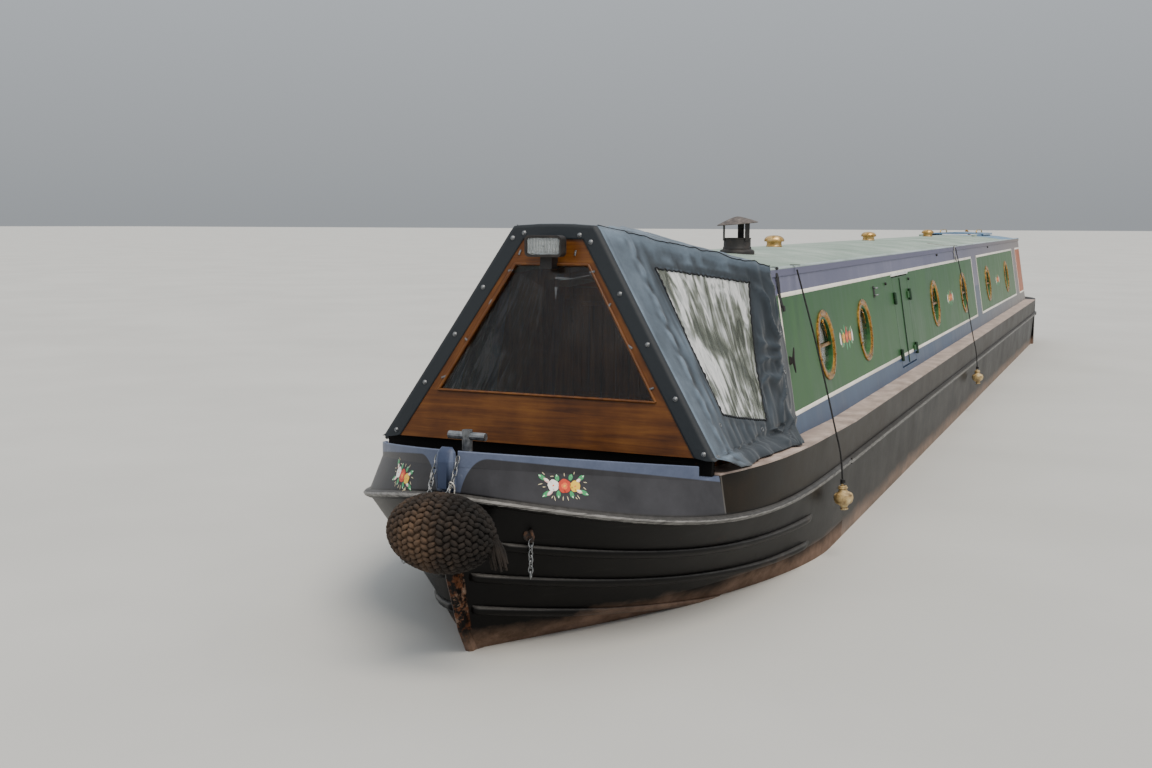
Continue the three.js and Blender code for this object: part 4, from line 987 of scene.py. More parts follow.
def relief(k, s, side):
    """How far the cloth stands off the drawn lines, in metres."""
    seed = 3.7 if side > 0 else 11.3
    along, up = k * K_LONG, s * S_LONG
    edge = outside_window(k, s)
    # The tent sags a little between the board and the cabin.
    sag = 0.010 * math.sin(math.pi * s) if s <= 1 else 0.016 * math.sin(math.pi * min((s - 1) / 0.7, 1))
    lift = 0.004 - sag * math.sin(math.pi * min(k, 1))
    # The gathered seam behind the board.
    seam = 0.15 - 0.03 * (1 - min(s, 1))
    apart = abs(k - seam) * K_LONG
    lift += (0.004 + 0.009 * wave(up * 34, 0, seed)) * math.exp(-(apart / 0.014) ** 2) * (s <= 1)
    lift += 0.006 * wave(up * 30 + along * 11, along * 18, seed + 1) * math.exp(-(apart / 0.035) ** 2)
    lift += 0.005 * soft(k, seam + 0.008, seam - 0.008) * (s <= 1)
    # Loose creases round the window, and its doubled, puckered border.
    rim = soft(edge, 0.0, 0.02) * (0.2 + 0.8 * soft(k, seam - 0.02, seam + 0.03))
    lift += rim * (0.010 * wave(along * 13, up * 6, seed + 2) + 0.006 * wave(along * 30, up * 9, seed + 8))
    if 0 < edge < 0.028:
        lift += 0.002 + 0.0015 * math.sin((along + up) * 2 * math.pi / 0.011)
    if edge <= 0:
        lift += 0.004 * wave(along * 14 + up * 5, up * 3.2, seed + 3)
        lift += 0.0016 * wave(along * 34 + up * 16, up * 8, seed + 4)
    # Sharp folds between the window and the cabin, which all run to the point where the cover is tied.
    loose = soft(k - WINDOW_AFT[0] - WINDOW_AFT[1] * min(s, 1), 0.0, 0.07) * soft(s, 0.98, 0.86)
    if loose > 0:
        ahead, over = TIE[0] - along, up - TIE[1]
        turn = math.atan2(over, max(ahead, 0.01)) + 0.35 * wave(up * 5, along * 5, seed + 5)
        crest = (1 - abs(math.sin(turn * 8 + seed))) ** 2.6
        lift += loose * (0.004 + 0.024 * crest * soft(math.hypot(ahead, over), 0.03, 0.16))
        lift += loose * 0.007 * wave(along * 15, up * 9, seed + 6)
    lift *= 1 - 0.75 * soft(k, 1.0, 1.06) * soft(s, 0.0, 0.2)
    # The hem hangs free, and curls outwards and down at the front corner.
    hem = soft(s, 0.07, 0.0)
    lift += hem * (0.006 + 0.008 * wave(along * 11, 0.5, seed + 7))
    lift += hem * 0.034 * soft(k, 0.34, 0.10) * soft(k, -0.12, 0.05)
    return lift


print("relief at the folds", round(relief(0.95, 0.5, 1), 4))

# %% [markdown]
# ## The cover: one sheet of cloth
# The strip that is studded to the board's face, the turn round the board's edge and the tent behind it are one
# mesh. Its faces are about 12 mm long, so that folds of 100 mm stay round. UVs hold the real distance along the
# cloth in metres, for the weave, and two attributes mark the doubled borders and how far each point stands out of
# the cloth round it, from which the ridges get painted light and the folds painted shade.

# %% The sheet
def on_board(s, inset):
    """A point of the strip on the board's face, a share of the way in from its edge."""
    y0, z0 = between(FRONT_LINE, s)
    if s < 1 / 3:
        y1, z1 = 0.800 - 0.162 * s, 1.352 + 0.030 * s
    elif s <= 1:
        z1 = 1.362 + (s - 1 / 3) * 1.5 * 0.946
        y1 = 0.747 - 0.63 * (z1 - BOARD_FOOT)
    else:
        y1, z1 = 0.150 * (2 - s), 2.308
    y, z = y0 + (y1 - y0) * inset, z0 + (z1 - z0) * inset
    return Vector((board_face(z) + 0.003, y, z))


def spaced(stops):
    """Positions between stops, each stop given as (position, number of steps up to the next)."""
    out = []
    for (a, count), (b, _) in zip(stops, stops[1:]):
        out += [a + (b - a) * i / count for i in range(count)]
    return out + [stops[-1][0]]


def crossing(column, row):
    """The (k, s) where a column line and a row line of the mesh cross; a whole number is a known line."""
    lines = [(0, 0), WINDOW_FORE, WINDOW_AFT, (1, 0), (K_END, 0)]
    rows = [(0, 0), WINDOW_LOW, WINDOW_HIGH, (1, 0)]
    i, j = min(int(column), 3), min(int(row), 2)
    c = [lines[i][n] + (lines[i + 1][n] - lines[i][n]) * (column - i) for n in (0, 1)]
    if row > 3:
        return c[0] + c[1], 1 + (row - 3)
    r = [rows[j][n] + (rows[j + 1][n] - rows[j][n]) * (row - j) for n in (0, 1)]
    k = (c[0] + c[1] * r[0]) / (1 - c[1] * r[1])
    return k, r[0] + r[1] * k


def round_edge(s):
    """The direction straight out of the board's edge, so that the cloth goes round it and not through it."""
    if s >= 1:
        return Vector((0, 0, 1))
    return Vector((0, 1, 0.2)).normalized() if s < 1 / 3 else Vector((0, 0.847, 0.532))


def strip_point(row, inset, side):
    """A point of the strip on the board: where it is, its place in the cloth, its border, in the window."""
    s = crossing(0, row)[1]
    spot = on_board(s, inset) + round_edge(s) * (0.005 if inset == 0 else 0.0)
    spot.y *= side
    return spot, (-0.045 - 0.07 * inset, s), 0.0 if inset < 0.9 else 1.0, False


def tent_point(row, column, side):
    """The same four things for a point of the tent."""
    k, s = crossing(column, row)
    spot, ahead, higher = drawn(k, s), drawn(k + 1e-3, s), drawn(k, min(s, 1.999) + 1e-3)
    normal = (ahead - spot).cross(Vector((0, -1, 0)) if s > 1.999 else higher - spot).normalized()
    if normal.z + normal.y < 0:
        normal = -normal
    near_board = soft(k, 0.0, 0.05)
    lift = 0.004 + (relief(k, s, side) - 0.004) * near_board
    spot = spot + normal * lift + round_edge(s) * 0.005 * (1 - near_board)
    # The foot is wide at the front corner and where the aft end is bunched, and hangs over the gunwale.
    wider = (0.055 if side > 0 else 0.015) * near_board + 0.040 * soft(k, 0.3, 0.85)
    spot += Vector((0.27 * soft(k, 0.7, 1.1), wider, 0)) * soft(s, 0.15, 0.0)
    drop = drawn(min(k, 1), 0).z - FOOT_HANG + 0.016 * soft(k, 0.34, 0.2)
    spot.z -= drop * soft(s, 0.09, 0.0) * soft(k, 0.0, 0.06)
    spot.y *= side
    edge = outside_window(k, s)
    border = max(soft(edge, 0.030, 0.026) * (edge > 0), soft(s, 0.030, 0.022), soft(k, 1.13, 1.14))
    return spot, (k * K_LONG, s * S_LONG), border, edge <= 1e-6


columns = spaced([(0, 26), (1, 42), (2, 26), (3, 14), (4, 0)])
rows = spaced([(0, 34), (1, 44), (2, 8), (3, 30), (4, 0)])
insets = spaced([(1, 7), (0, 0)])
plan = [[strip_point(row, inset, side) for inset in insets] + [tent_point(row, column, side) for column in columns]
        for side in (1, -1) for row in (rows if side > 0 else rows[-2::-1])]
tall, wide = len(plan), len(plan[0])


def ridge_at(i, j):
    """0.5 on flat cloth, more on a ridge and less in a fold."""
    spot = plan[i][j][0]
    near = [plan[min(max(i + a, 0), tall - 1)][min(max(j + b, 0), wide - 1)][0]
            for a, b in ((3, 0), (-3, 0), (0, 3), (0, -3))]
    across = (near[0] - near[1]).cross(near[2] - near[3])
    outward = Vector((0, spot.y, 0.6))
    across = across.normalized() * (1 if across.dot(outward) > 0 else -1) if across.length > 1e-9 else outward
    on_tent = len(insets) <= j < wide - 3
    return 0.5 + (spot - sum(near, Vector()) / 4).dot(across) / 0.012 if on_tent else 0.5


mesh = bpy.data.meshes.new("cratch_canvas")
mesh.from_pydata([entry[0] for line in plan for entry in line], [],
                 [(i * wide + j, i * wide + j + 1, (i + 1) * wide + j + 1, (i + 1) * wide + j)
                  for i in range(tall - 1) for j in range(wide - 1)])
flat_entries = [entry for line in plan for entry in line]
cloth = mesh.uv_layers.new(name="cloth")
for loop in mesh.loops:
    cloth.data[loop.index].uv = flat_entries[loop.vertex_index][1]
border = mesh.attributes.new("border", "FLOAT", "POINT")
ridge = mesh.attributes.new("ridge", "FLOAT", "POINT")
for i, entry in enumerate(flat_entries):
    border.data[i].value = entry[2]
    ridge.data[i].value = clamp(ridge_at(i // wide, i % wide))
for face in mesh.polygons:
    face.material_index = int(all(flat_entries[i][3] for i in face.vertices))
canvas = bpy.data.objects.new("cratch_canvas", mesh)
bpy.context.collection.objects.link(canvas)
alone(canvas)
bpy.ops.object.mode_set(mode="EDIT")
bpy.ops.mesh.select_all(action="SELECT")
bpy.ops.mesh.normals_make_consistent(inside=False)
bpy.ops.object.mode_set(mode="OBJECT")
modify(canvas, "SOLIDIFY", thickness=0.0012, offset=0)
bpy.ops.object.shade_smooth()

# %% [markdown]
# ## Coated canvas and clear vinyl
# Acrylic canvas with a water-proof coating: matt blue-grey with nearly black doubled borders. Light and shade are
# painted on it: the front panels lighter than the side behind the seam, the strip on the board dark, the ridges of
# the folds lighter and the hollows darker, and the aft end and the top darker. Its plain weave is drawn at 3 mm,
# six times the real threads, so that it shows. The window is 0.5 mm clear PVC, gone milky and creased, with an IOR
# of 1.53: the creases are long waves that slant down and forward, painted white as reflections of the sky and a
# dull green-grey as shade lower down.

# %% Canvas and vinyl
paint = Finish("coated_canvas", "#4a5660", 0.62)
spread = paint.node("UVMap", uv_map="cloth").outputs[0]
along, up, _ = paint.parts(spread)
marks = paint.node("Attribute", attribute_name="border").outputs["Fac"]
fold_light_and_shade = paint.node("Attribute", attribute_name="ridge").outputs["Fac"]
weathered = paint.average(0.3, paint.noise(3.5, 6, 0.6), paint.noise(22, 6, 0.7))
tone = paint.ramp(weathered, (0.36, "#505f6d"), (0.5, "#5e6e7e"), (0.64, "#708192"))
# The ridges of the folds are painted lighter and the hollows darker: painted light and shade.
fold_light_and_shade = paint.ramp(fold_light_and_shade, (0.12, "#53585d"), (0.5, "#c8c8c8"), (0.80, "#ffffff"))
tone = paint.blend(1.0, tone, fold_light_and_shade, blend_type="MULTIPLY")
# The doubled borders are black tape. The strip on the board's face is painted as dark as them, as a painted
# reflection of dark surroundings.
dark = paint.calc("MAXIMUM", paint.calc("MULTIPLY", marks, 0.8), paint.calc("LESS_THAN", along, -0.005))
tone = paint.blend(dark, tone, "#121a21")
# The side behind the gathered seam is painted darker than the facing strip and the top, as painted shade.
panel = paint.calc("MULTIPLY", paint.span(along, 0.135, 0.165), paint.span(up, 1.156, 1.146, 0, 0.30))
tone = paint.blend(panel, tone, "#19232b")
# The aft end and the top are painted darker as shade, and the side is darker towards its foot.
aft = paint.calc("MULTIPLY", paint.span(along, 0.74, 0.88, 0, 0.84), paint.span(up, 1.156, 1.10))
low = paint.calc("MULTIPLY", paint.span(up, 0.60, 0.36, 0, 0.93), paint.span(along, 0.16, 0.3))
painted_shade_aft_and_top = paint.calc("MAXIMUM", aft, paint.span(up, 1.16, 1.3, 0, 0.15))
tone = paint.blend(paint.calc("MAXIMUM", painted_shade_aft_and_top, low), tone, "#141f28")
threads = paint.stretched((1 / 0.003, 1 / 0.003, 1), spread)
weave = paint.calc("MULTIPLY", *(paint.bands(0.32, axis, threads) for axis in "XY"))
rumpled = paint.bump(paint.noise(38, 3), 0.3, 0.004, paint.bump(weave, 0.12, 0.0006))
canvas_cloth = paint.done(Base_Color=tone, Normal=rumpled, Sheen_Weight=0.25, Sheen_Roughness=0.4)

paint = Finish("clear_vinyl_sheet", "#b4b9bb", 0.14)
spread = paint.node("UVMap", uv_map="cloth").outputs[0]
along, up, _ = paint.parts(spread)
creases = paint.noise(1.0, 3, 0.55, paint.stretched((19, 4.2, 1), spread, -24), 1.3)
sunny = paint.calc("MULTIPLY_ADD", up, 0.10, -0.115)
sunny = paint.calc("MULTIPLY_ADD", along, -0.06, sunny)
glare = paint.calc("ADD", paint.average(0.45, creases, paint.noise(4.5, 3, 0.5, spread, 1.2)), sunny)
# The crease glints are painted white as reflections of the sky, and the lower creases a dull green-grey as painted
# shade.
milky_with_painted_glare = paint.ramp(glare, (0.33, "#565b50"), (0.41, "#8b9085"), (0.46, "#c8cccc"), (0.50, "#ffffff"),
                   (0.60, "#e4e8ea"))
clear_vinyl = paint.done(Base_Color=milky_with_painted_glare, Normal=paint.bump(creases, 0.9, 0.03), Transmission_Weight=0.35,
                         IOR=1.53)
canvas.data.materials.append(canvas_cloth)
canvas.data.materials.append(clear_vinyl)
placed(canvas, stands_for=["cratch_cover"])
print("cover dressed")

# %% [markdown]
# ## Piping and stitched edges
# A black binding is sewn round the clear window with a zigzag that puckers it, and a thin piping joins the
# top to the sides. Both follow lines of the sheet's own mesh, so they lie on the folds and go with them.

# %% Binding and piping
binding = finish_of("black_binding_tape", ("#080a0d", "#10141a", "#1c222a"), 0.75, size=0.006, bump=0.6)


def along_mesh(rows_at, columns_at, proud):
    """Points of the sheet at the given rows and columns, lifted off the cloth."""
    points = []
    for i, j in [(i, j) for i in rows_at for j in columns_at]:
        here, after, above_it = plan[i][j][0], plan[i][j + 1][0], plan[i + 1][j][0]
        out = (after - here).cross(above_it - here).normalized()
        out = out if out.dot(Vector((0, here.y, 0.4))) > 0 else -out
        points.append(here + out * proud)
    return points


piped = []
for side in (1, -1):
    index = {row: i if side > 0 else 2 * len(rows) - 2 - i for i, row in enumerate(rows)}
    window_rows = [index[row] for row in rows if 1 <= row <= 2]
    window_columns = [len(insets) + n for n, column in enumerate(columns) if 1 <= column <= 2]
    edges = ((window_rows[:1], window_columns), (window_rows[1:], window_columns[-1:]),
             (window_rows[-1:], window_columns[-2::-1]), (window_rows[-2:0:-1], window_columns[:1]))
    outline = [point for edge in edges for point in along_mesh(*edge, 0.003)]
    outline = [point + Vector((0, 0, 0.0022 * (-1) ** n)) for n, point in enumerate(outline)]
    piped.append(tube("binding", outline, 0.0042, binding, cyclic=True))
    ridge_row = along_mesh([index[3]], range(len(insets), len(insets) + len(columns) - 1), 0.002)
    piped.append(tube("piping", ridge_row, 0.0026, binding))
placed(joined("cover_binding", *piped))
print("binding of", len(piped), "runs")

# %% The ridge timber under it
ridge_timber = block("ridge_timber", (0.88, 0.070, 0.1), (6.81, 0, 2.3))
for x, low_z, high_z in ((7.25, 2.350, 2.362), (6.37, 2.225, 2.342)):
    for z, place_z in ((2.25, low_z), (2.35, high_z)):
        pick(ridge_timber, lambda at, out: abs(at.x - x) < 0.01 and abs(at.z - z) < 0.01, "VERT")
        shift((0, 0, place_z - z))
bevel_all(0.006, 2)
placed(closed(ridge_timber, plank_wood)).name = "ridge_timber"
print("ridge timber under the cover")

# %% [markdown]
# ## The bow fender
# A rope bun that hangs on two chains in front of the stem, a little askew to port. It is worked over a core
# in rows of plump loops of 16 mm polypropylene rope, about 27 mm apart, with the rows' poles at its left and
# right. One loop is modelled and copied to every place on the core; loops lean one way in one row and the
# other way in the next, as in knitting. Black rope has worn to brown where it meets lock gates.

# %% Worn rope
paint = Finish("worn_black_rope", "#1d1815", 0.88)
front = paint.node("VectorMath", {0: paint.where, 1: (8.60, -0.02, 1.19)}, operation="DISTANCE")
rubbed = paint.span(front.outputs["Value"], 0.05, 0.26, 0.62, 0.30)
rubbed = paint.ramp(paint.average(0.45, rubbed, paint.noise(9, 5, 0.7)), (0.34, "#161311"), (0.47, "#2c2520"),
                    (0.62, "#5e4a3a"))
fender_rope = paint.done(Base_Color=rubbed, Normal=paint.bump(paint.noise(330, 3), 0.7, 0.002),
                         Specular_IOR_Level=0.3)
print("rope ready")

# %% The bun
BUN = Vector((8.489, 0.060, 1.185))
BUN_SIZE = Vector((0.132, 0.226, 0.152))


def knitted_bun(centre, size, row_count):
    """An oval core with rows of loops all over it; the poles of the rows are at its left and right."""
    bpy.ops.mesh.primitive_uv_sphere_add(segments=40, ring_count=24, radius=1, location=centre)
    core = opened("fender_core")
    bpy.ops.mesh.select_all(action="SELECT")
    bpy.ops.transform.resize(value=[length - 0.006 for length in size], center_override=centre)
    core = closed(core, fender_rope)
    bpy.ops.mesh.primitive_uv_sphere_add(segments=10, ring_count=6, radius=1)
    loop = opened("fender_loop")
    bpy.ops.mesh.select_all(action="SELECT")
    resize((0.0205, 0.0105, 0.0095), (0, 0, 0))
    pick(loop, lambda at, out: abs(at.x) > 0.012, "VERT")
    shift((0, 0, -0.005))
    loop = closed(loop, fender_rope)
    moves = []
    for row in range(row_count):
        lat = math.radians(-80 + 160 * row / (row_count - 1))
        count = max(round(2 * math.pi * (size.x + size.z) / 2 * math.cos(lat) / 0.0245), 3)
        for i in range(count):
            lon = 2 * math.pi * (i + 0.5 * (row % 2) + random.uniform(-0.12, 0.12)) / count
            unit = Vector((math.cos(lat) * math.cos(lon), math.sin(lat), math.cos(lat) * math.sin(lon)))
            spot = centre + Vector([unit[n] * size[n] for n in range(3)])
            out = Vector([unit[n] / size[n] for n in range(3)]).normalized()
            along = Vector((0, 1, 0)) if abs(out.y) < 0.99 else Vector((1, 0, 0))
            turn = Matrix.Rotation(math.radians(35 if row % 2 else -35) + random.uniform(-0.25, 0.25), 4, "Z")
            moves.append(frame_at(spot, out, along) @ Matrix.Rotation(math.pi / 2, 4, "Z") @ turn)
    print("bun of", len(moves), "loops")
    return core, copies(loop, moves, "fender_loops")


random.seed(4)
core, loops = knitted_bun(BUN, BUN_SIZE, 21)

# %% [markdown]
# ## The fender's tail, and the chains that carry it
# The rope's two ends are whipped and left to fray at the port side. A chain link is a torus whose two
# halves are moved apart, and links follow each chain's line, every other one turned by a quarter. A loop
# of white cord is tied to the port chain, where a broken link was once mended.

# %% Tail and chains
random.seed(9)
tails = []
for i in range(34):
    angle, spread = 2 * math.pi * i / 34, random.uniform(0.3, 1.0)
    top = Vector((8.462, 0.272, 1.196))
    low = Vector((8.468 + 0.034 * spread * math.cos(angle), 0.306 + 0.042 * spread * math.sin(angle),
                  1.058 + random.uniform(0, 0.035)))
    middle = top.lerp(low, 0.5) + Vector((math.cos(angle), math.sin(angle), 0)) * 0.012
    tails.append(tube("tail", [top, middle, low], 0.0082, fender_rope, ends=(1, 0.55)))
ring(0.017, 0.009, location=(8.462, 0.270, 1.180))
knot = opened("tail_knot")
bpy.ops.mesh.select_all(action="SELECT")
resize((1, 1, 1.8), (8.462, 0.270, 1.180))
tails.append(closed(knot, fender_rope))
placed(joined("bow_fender_bun", core, loops, *tails), stands_for=["bow_fender"])

ring(0.0085, 0.0027, 16)
link = opened("link")
for way in (1, -1):
    pick(link, lambda at, out: at.x * way > 1e-4, "VERT")
    shift((0.0075 * way, 0, 0))
link = closed(link, galvanised)
moves = []
for side in (1, -1):
    line = [Vector((8.330, side * 0.0470, 1.446)), Vector((8.356, side * 0.0478, 1.395)),
            Vector((8.382, side * 0.046, 1.350)), Vector((8.414, 0.006 + side * 0.040, 1.325)),
            Vector((8.440, 0.012 + side * 0.034, 1.310))]
    lengths = [0]
    for a, b in zip(line, line[1:]):
        lengths.append(lengths[-1] + (b - a).length)
    count = round(lengths[-1] / 0.0262)
    for i in range(count + 1):
        at = lengths[-1] * i / count
        j = next(n for n in range(1, len(line)) if at <= lengths[n] + 1e-9)
        spot = line[j - 1].lerp(line[j], (at - lengths[j - 1]) / (lengths[j] - lengths[j - 1]))
        way = (line[j] - line[j - 1]).normalized()
        aside = Vector((0, 1, 0)) if i % 2 else way.cross(Vector((0, 1, 0)))
        out = (aside - way * aside.dot(way)).normalized()
        basis = Matrix((way, out.cross(way), out)).transposed().to_4x4()
        moves.append(Matrix.Translation(spot) @ basis)
placed(copies(link, moves, "fender_chains"))

paint = Finish("white_braided_cord", "#c9c6bf", 0.8)
white_cord = paint.done(Base_Color=paint.ramp(paint.noise(120, 4), (0.4, "#8f8b83"), (0.6, "#d2cfc8")))
cord = tube("cord_loop", [(8.384, 0.060, 1.352), (8.392, 0.066, 1.322), (8.398, 0.062, 1.290),
                          (8.402, 0.052, 1.300), (8.396, 0.046, 1.330), (8.384, 0.052, 1.356)],
            0.0028, white_cord, cyclic=True)
tie = tube("cord_tie", [(8.380, 0.038, 1.356), (8.388, 0.050, 1.366), (8.386, 0.062, 1.354),
                        (8.378, 0.056, 1.342)], 0.0028, white_cord, cyclic=True)
tag = tube("cord_tag", [(8.352, -0.058, 1.392), (8.354, -0.062, 1.372), (8.356, -0.058, 1.350)], 0.004,
           white_cord)
placed(joined("chain_cords", cord, tie, tag))
print("fender hung")

# %% [markdown]
# ## Portholes
# Six cast brass portholes a side, 412 mm over the flange, each held by eight screws. The flange is a circle
# whose edge is extruded and resized along its section, as a turner would cut it: a flat face with rounded
# edges and a bevel that runs down into the hole in the steel. Four of the six are hoppers with a bar across
# the middle, whose upper half tips inwards; the other two are plain.

# %% Pieces turned on a lathe
def turned(name, profile, material=None, segments=40, smooth=40, capped=(False, False)):
    """A round piece about Z from (radius, height) pairs, first to last; capped ends are filled."""
    bpy.ops.mesh.primitive_circle_add(vertices=segments, radius=profile[0][0], fill_type="NOTHING",
                                      location=(0, 0, profile[0][1]))
    piece = opened(name)
    bpy.ops.mesh.select_all(action="SELECT")
    if capped[0]:
        bpy.ops.mesh.edge_face_add()
        bpy.ops.mesh.select_mode(type="EDGE")
    for (r0, h0), (r1, h1) in zip(profile, profile[1:]):
        if capped[0] and (r0, h0) == profile[0]:
            bpy.ops.mesh.extrude_region_move()
        else:
            bpy.ops.mesh.extrude_edges_move()
        resize((r1 / r0, r1 / r0, 1), (0, 0, h0))
        shift((0, 0, h1 - h0))
    if capped[1] and not capped[0]:
        bpy.ops.mesh.edge_face_add()
    return closed(piece, material, smooth)


# How far the cabin side leans in for each metre of height, and where it stands on the gunwale.
TUMBLEHOME, SIDE_Y, SIDE_Z = 0.1617, 0.894, 1.256
CABIN_LEAN = math.atan(TUMBLEHOME)


def side_place(x, z, side, lift=0.0):
    """The matrix of a fitting on the cabin side; its Y runs up the slope and its Z outwards."""
    out = Vector((0, side * math.cos(CABIN_LEAN), math.sin(CABIN_LEAN)))
    up = Vector((0, -side * math.sin(CABIN_LEAN), math.cos(CABIN_LEAN)))
    spot = Vector((x, side * (SIDE_Y - TUMBLEHOME * (z - SIDE_Z)), z)) + out * lift
    return frame_at(spot, out, up)


print("a fitting at the porthole's height stands at", side_place(4.171, 1.676, 1).translation)

# %% Flange, screws, bar and pane
PORTHOLES = [5.309, 4.171, 1.094, -0.810, -2.968, -5.074]
HOPPERS = [0, 2, 3, 4]
PORT_HEIGHT = 1.676
places = [side_place(x, PORT_HEIGHT, side) for side in SIDES.values() for x in PORTHOLES]
flange = turned("flange", [(0.206, -0.001), (0.206, 0.006), (0.202, 0.010), (0.181, 0.0115), (0.175, 0.009),
                           (0.161, -0.004), (0.1495, -0.020), (0.1495, -0.034), (0.156, -0.034),
                           (0.168, -0.002), (0.206, -0.001)], brass, 64, 30)
screw = turned("screw", [(0.0065, 0.0095), (0.0065, 0.0120), (0.0045, 0.0136), (0.002, 0.0142)], brass, 12, 40,
               (False, True))
screws = copies(screw, [Matrix.Rotation(math.radians(22.5 + 45 * i), 4, "Z") @ Matrix.Translation((0.1905, 0, 0))
                        for i in range(8)], "screws")
placed(copies(joined("flange", flange, screws), places, "porthole_flanges"))

bar = block("bar", (0.326, 0.020, 0.012), (0, 0, -0.009))
bevel_all(0.003, 2)
bar = closed(bar, brass)
catch = turned("catch", [(0.011, 0), (0.011, 0.010), (0.008, 0.014), (0.003, 0.015)], brass, 14, 40, (False, True))
catch.data.transform(Matrix.Translation((0, 0.140, -0.010)))
hopper_places = [places[i + 6 * n] for n in (0, 1) for i in HOPPERS]
placed(copies(joined("hopper", bar, catch), hopper_places, "porthole_hoppers"))

pane = turned("pane", [(0.1488, -0.024), (0.1488, -0.020)], glass, 48, 40, (True, False))
placed(copies(pane, places, "porthole_panes"))
print("portholes:", len(places))

# %% [markdown]
# ## Coach lines
# Cream lines, 23 mm wide, frame the green panels and the orange end panel with square corners. Hand-lined
# enamel stands proud by a brush's thickness, so each line is a thin slab with softened edges. Where a line
# crosses the side hatch it is painted on the leaves and moves with them.

# %% Lining
paint = Finish("cream_lining_enamel", "#fdf6df", 0.4)
faded = paint.ramp(paint.noise(3, 6, 0.7), (0.35, "#ece4d2"), (0.6, "#fffaf0"))
line_enamel = paint.done(Base_Color=faded, Coat_Weight=0.3)
LINE = 0.023


def paint_line(x0, z0, x1, z1, side, lift=0.0):
    """A line of paint between two points of the cabin side, level or upright."""
    long, tall = abs(x1 - x0) + LINE, abs(z1 - z0) / math.cos(CABIN_LEAN) + LINE
    bpy.ops.mesh.primitive_plane_add(size=1, location=(0, 0, 0))
    bpy.context.object.scale = (long, tall, 1)
    bpy.ops.object.transform_apply(scale=True)
    line = opened("line")
    bpy.ops.mesh.select_all(action="SELECT")
    extrude((0, 0, 0.0007))
    pick(line, lambda at, out: out.z > 0.9)
    resize((1 - 0.002 / long, 1 - 0.002 / tall, 1), (0, 0, 0))
    line = closed(line, line_enamel)
    line.data.transform(side_place((x0 + x1) / 2, (z0 + z1) / 2, side, lift))
    return line


hatch_gap = {"fore": (2.687, 3.014), "aft": (2.356, 2.682)}
for name, side in SIDES.items():
    lines = []
    for x0, x1 in PANELS + [END_PANEL]:
        lines.append(paint_line(x0, PANEL_HIGH, x1, PANEL_HIGH, side))
        lines += [paint_line(x, PANEL_LOW, x, PANEL_HIGH, side) for x in (x0, x1)]
        cuts = [x0, 2.334, 3.036, x1] if x0 < 2.6 < x1 else [x0, x1]
        lines += [paint_line(a, PANEL_LOW, b, PANEL_LOW, side) for a, b in zip(cuts[::2], cuts[1::2])]
    placed(joined(f"coach_lines_{name}", *lines))
    for end, (x0, x1) in hatch_gap.items():
        leaf = skin_of(f"side_hatch_{name}_{end}")
        spot = side_place((x0 + x1) / 2, PANEL_LOW, side, 0.2)
        hit = leaf.ray_cast(spot.translation, -spot.to_3x3().col[2])[3]
        bit = paint_line(x0 + LINE / 2, PANEL_LOW, x1 - LINE / 2, PANEL_LOW, side, 0.2 - hit)
        bit.name = bit.data.name = f"coach_line_hatch_{name}_{end}"
        placed(bit, f"side_hatch_{name}_{end}")
print("leaf stands proud by", round(0.2 - hit, 4))

# %% [markdown]
# ## Painted roses
# Roses are the canal's own old folk ornament. A boat painter lays them down in single brush strokes: dark
# discs, petals over them in two lighter tones, and leaves around. Each stroke here is a small circle drawn
# out to a petal and extruded by a film of paint, later strokes a little higher. The finished spray is laid
# on the curved bulwark by rays, stroke by stroke.

# %% Strokes of enamel
def enamel(name, code):
    paint = Finish(name, code, 0.35)
    return paint.done(Normal=paint.bump(paint.noise(160, 4), 0.3, 0.0008))


ROSE_TONES = {"leaf": enamel("rose_leaf_green", "#3f9a62"), "vein": enamel("rose_straw", "#cfc3a2"),
              "red": enamel("rose_red", "#c8402a"), "orange": enamel("rose_orange", "#f0703a"),
              "white": enamel("rose_white", "#fbf6f0"), "pink": enamel("rose_pink", "#e9b9b4"),
              "yellow": enamel("rose_yellow", "#f2c53c"), "umber": enamel("rose_umber", "#8c4a1e")}


def polar(x, y, far, degrees):
    """A point at a distance and a turn from another."""
    turn = math.radians(degrees)
    return x + far * math.cos(turn), y + far * math.sin(turn)


def stroke(tone, x, y, long, wide, turn, level):
    """One petal or leaf: long and wide in millimetres, turned in degrees, laid over lower strokes."""
    bpy.ops.mesh.primitive_circle_add(vertices=14, radius=1, fill_type="NGON", location=(0, 0, 0))
    petal = opened("petal")
    bpy.ops.mesh.select_all(action="SELECT")
    extrude((0, 0, 1))
    pick(petal, lambda at, out: at.x > 0.55, "VERT")
    resize((1.18, 0.62, 1), (0.5, 0, 0))
    petal = closed(petal, ROSE_TONES[tone])
    shape = Matrix.LocRotScale(Vector((x / 1000, y / 1000, 0.0)), Matrix.Rotation(math.radians(turn), 3, "Z")
                               .to_quaternion(), Vector((long / 2000, wide / 2000, 0.0004 + 0.00022 * level)))
    petal.data.transform(shape)
    return petal


def rose(x, y, size, tones):
    """A rose of a disc, an outer and an inner ring of petals and a heart."""
    ground, outer, inner, heart = tones
    strokes = [stroke(ground, x, y, size, size, 0, 1)]
    for i in range(5):
        at = polar(x, y, 0.33 * size, 72 * i + 20)
        strokes.append(stroke(outer, *at, 0.62 * size, 0.42 * size, 72 * i + 105, 2))
    for i in range(3):
        at = polar(x, y, 0.15 * size, 120 * i + 60)
        strokes.append(stroke(inner, *at, 0.36 * size, 0.24 * size, 120 * i + 150, 3))
    strokes.append(stroke(heart, x, y, 0.2 * size, 0.14 * size, 30, 4))
    return strokes


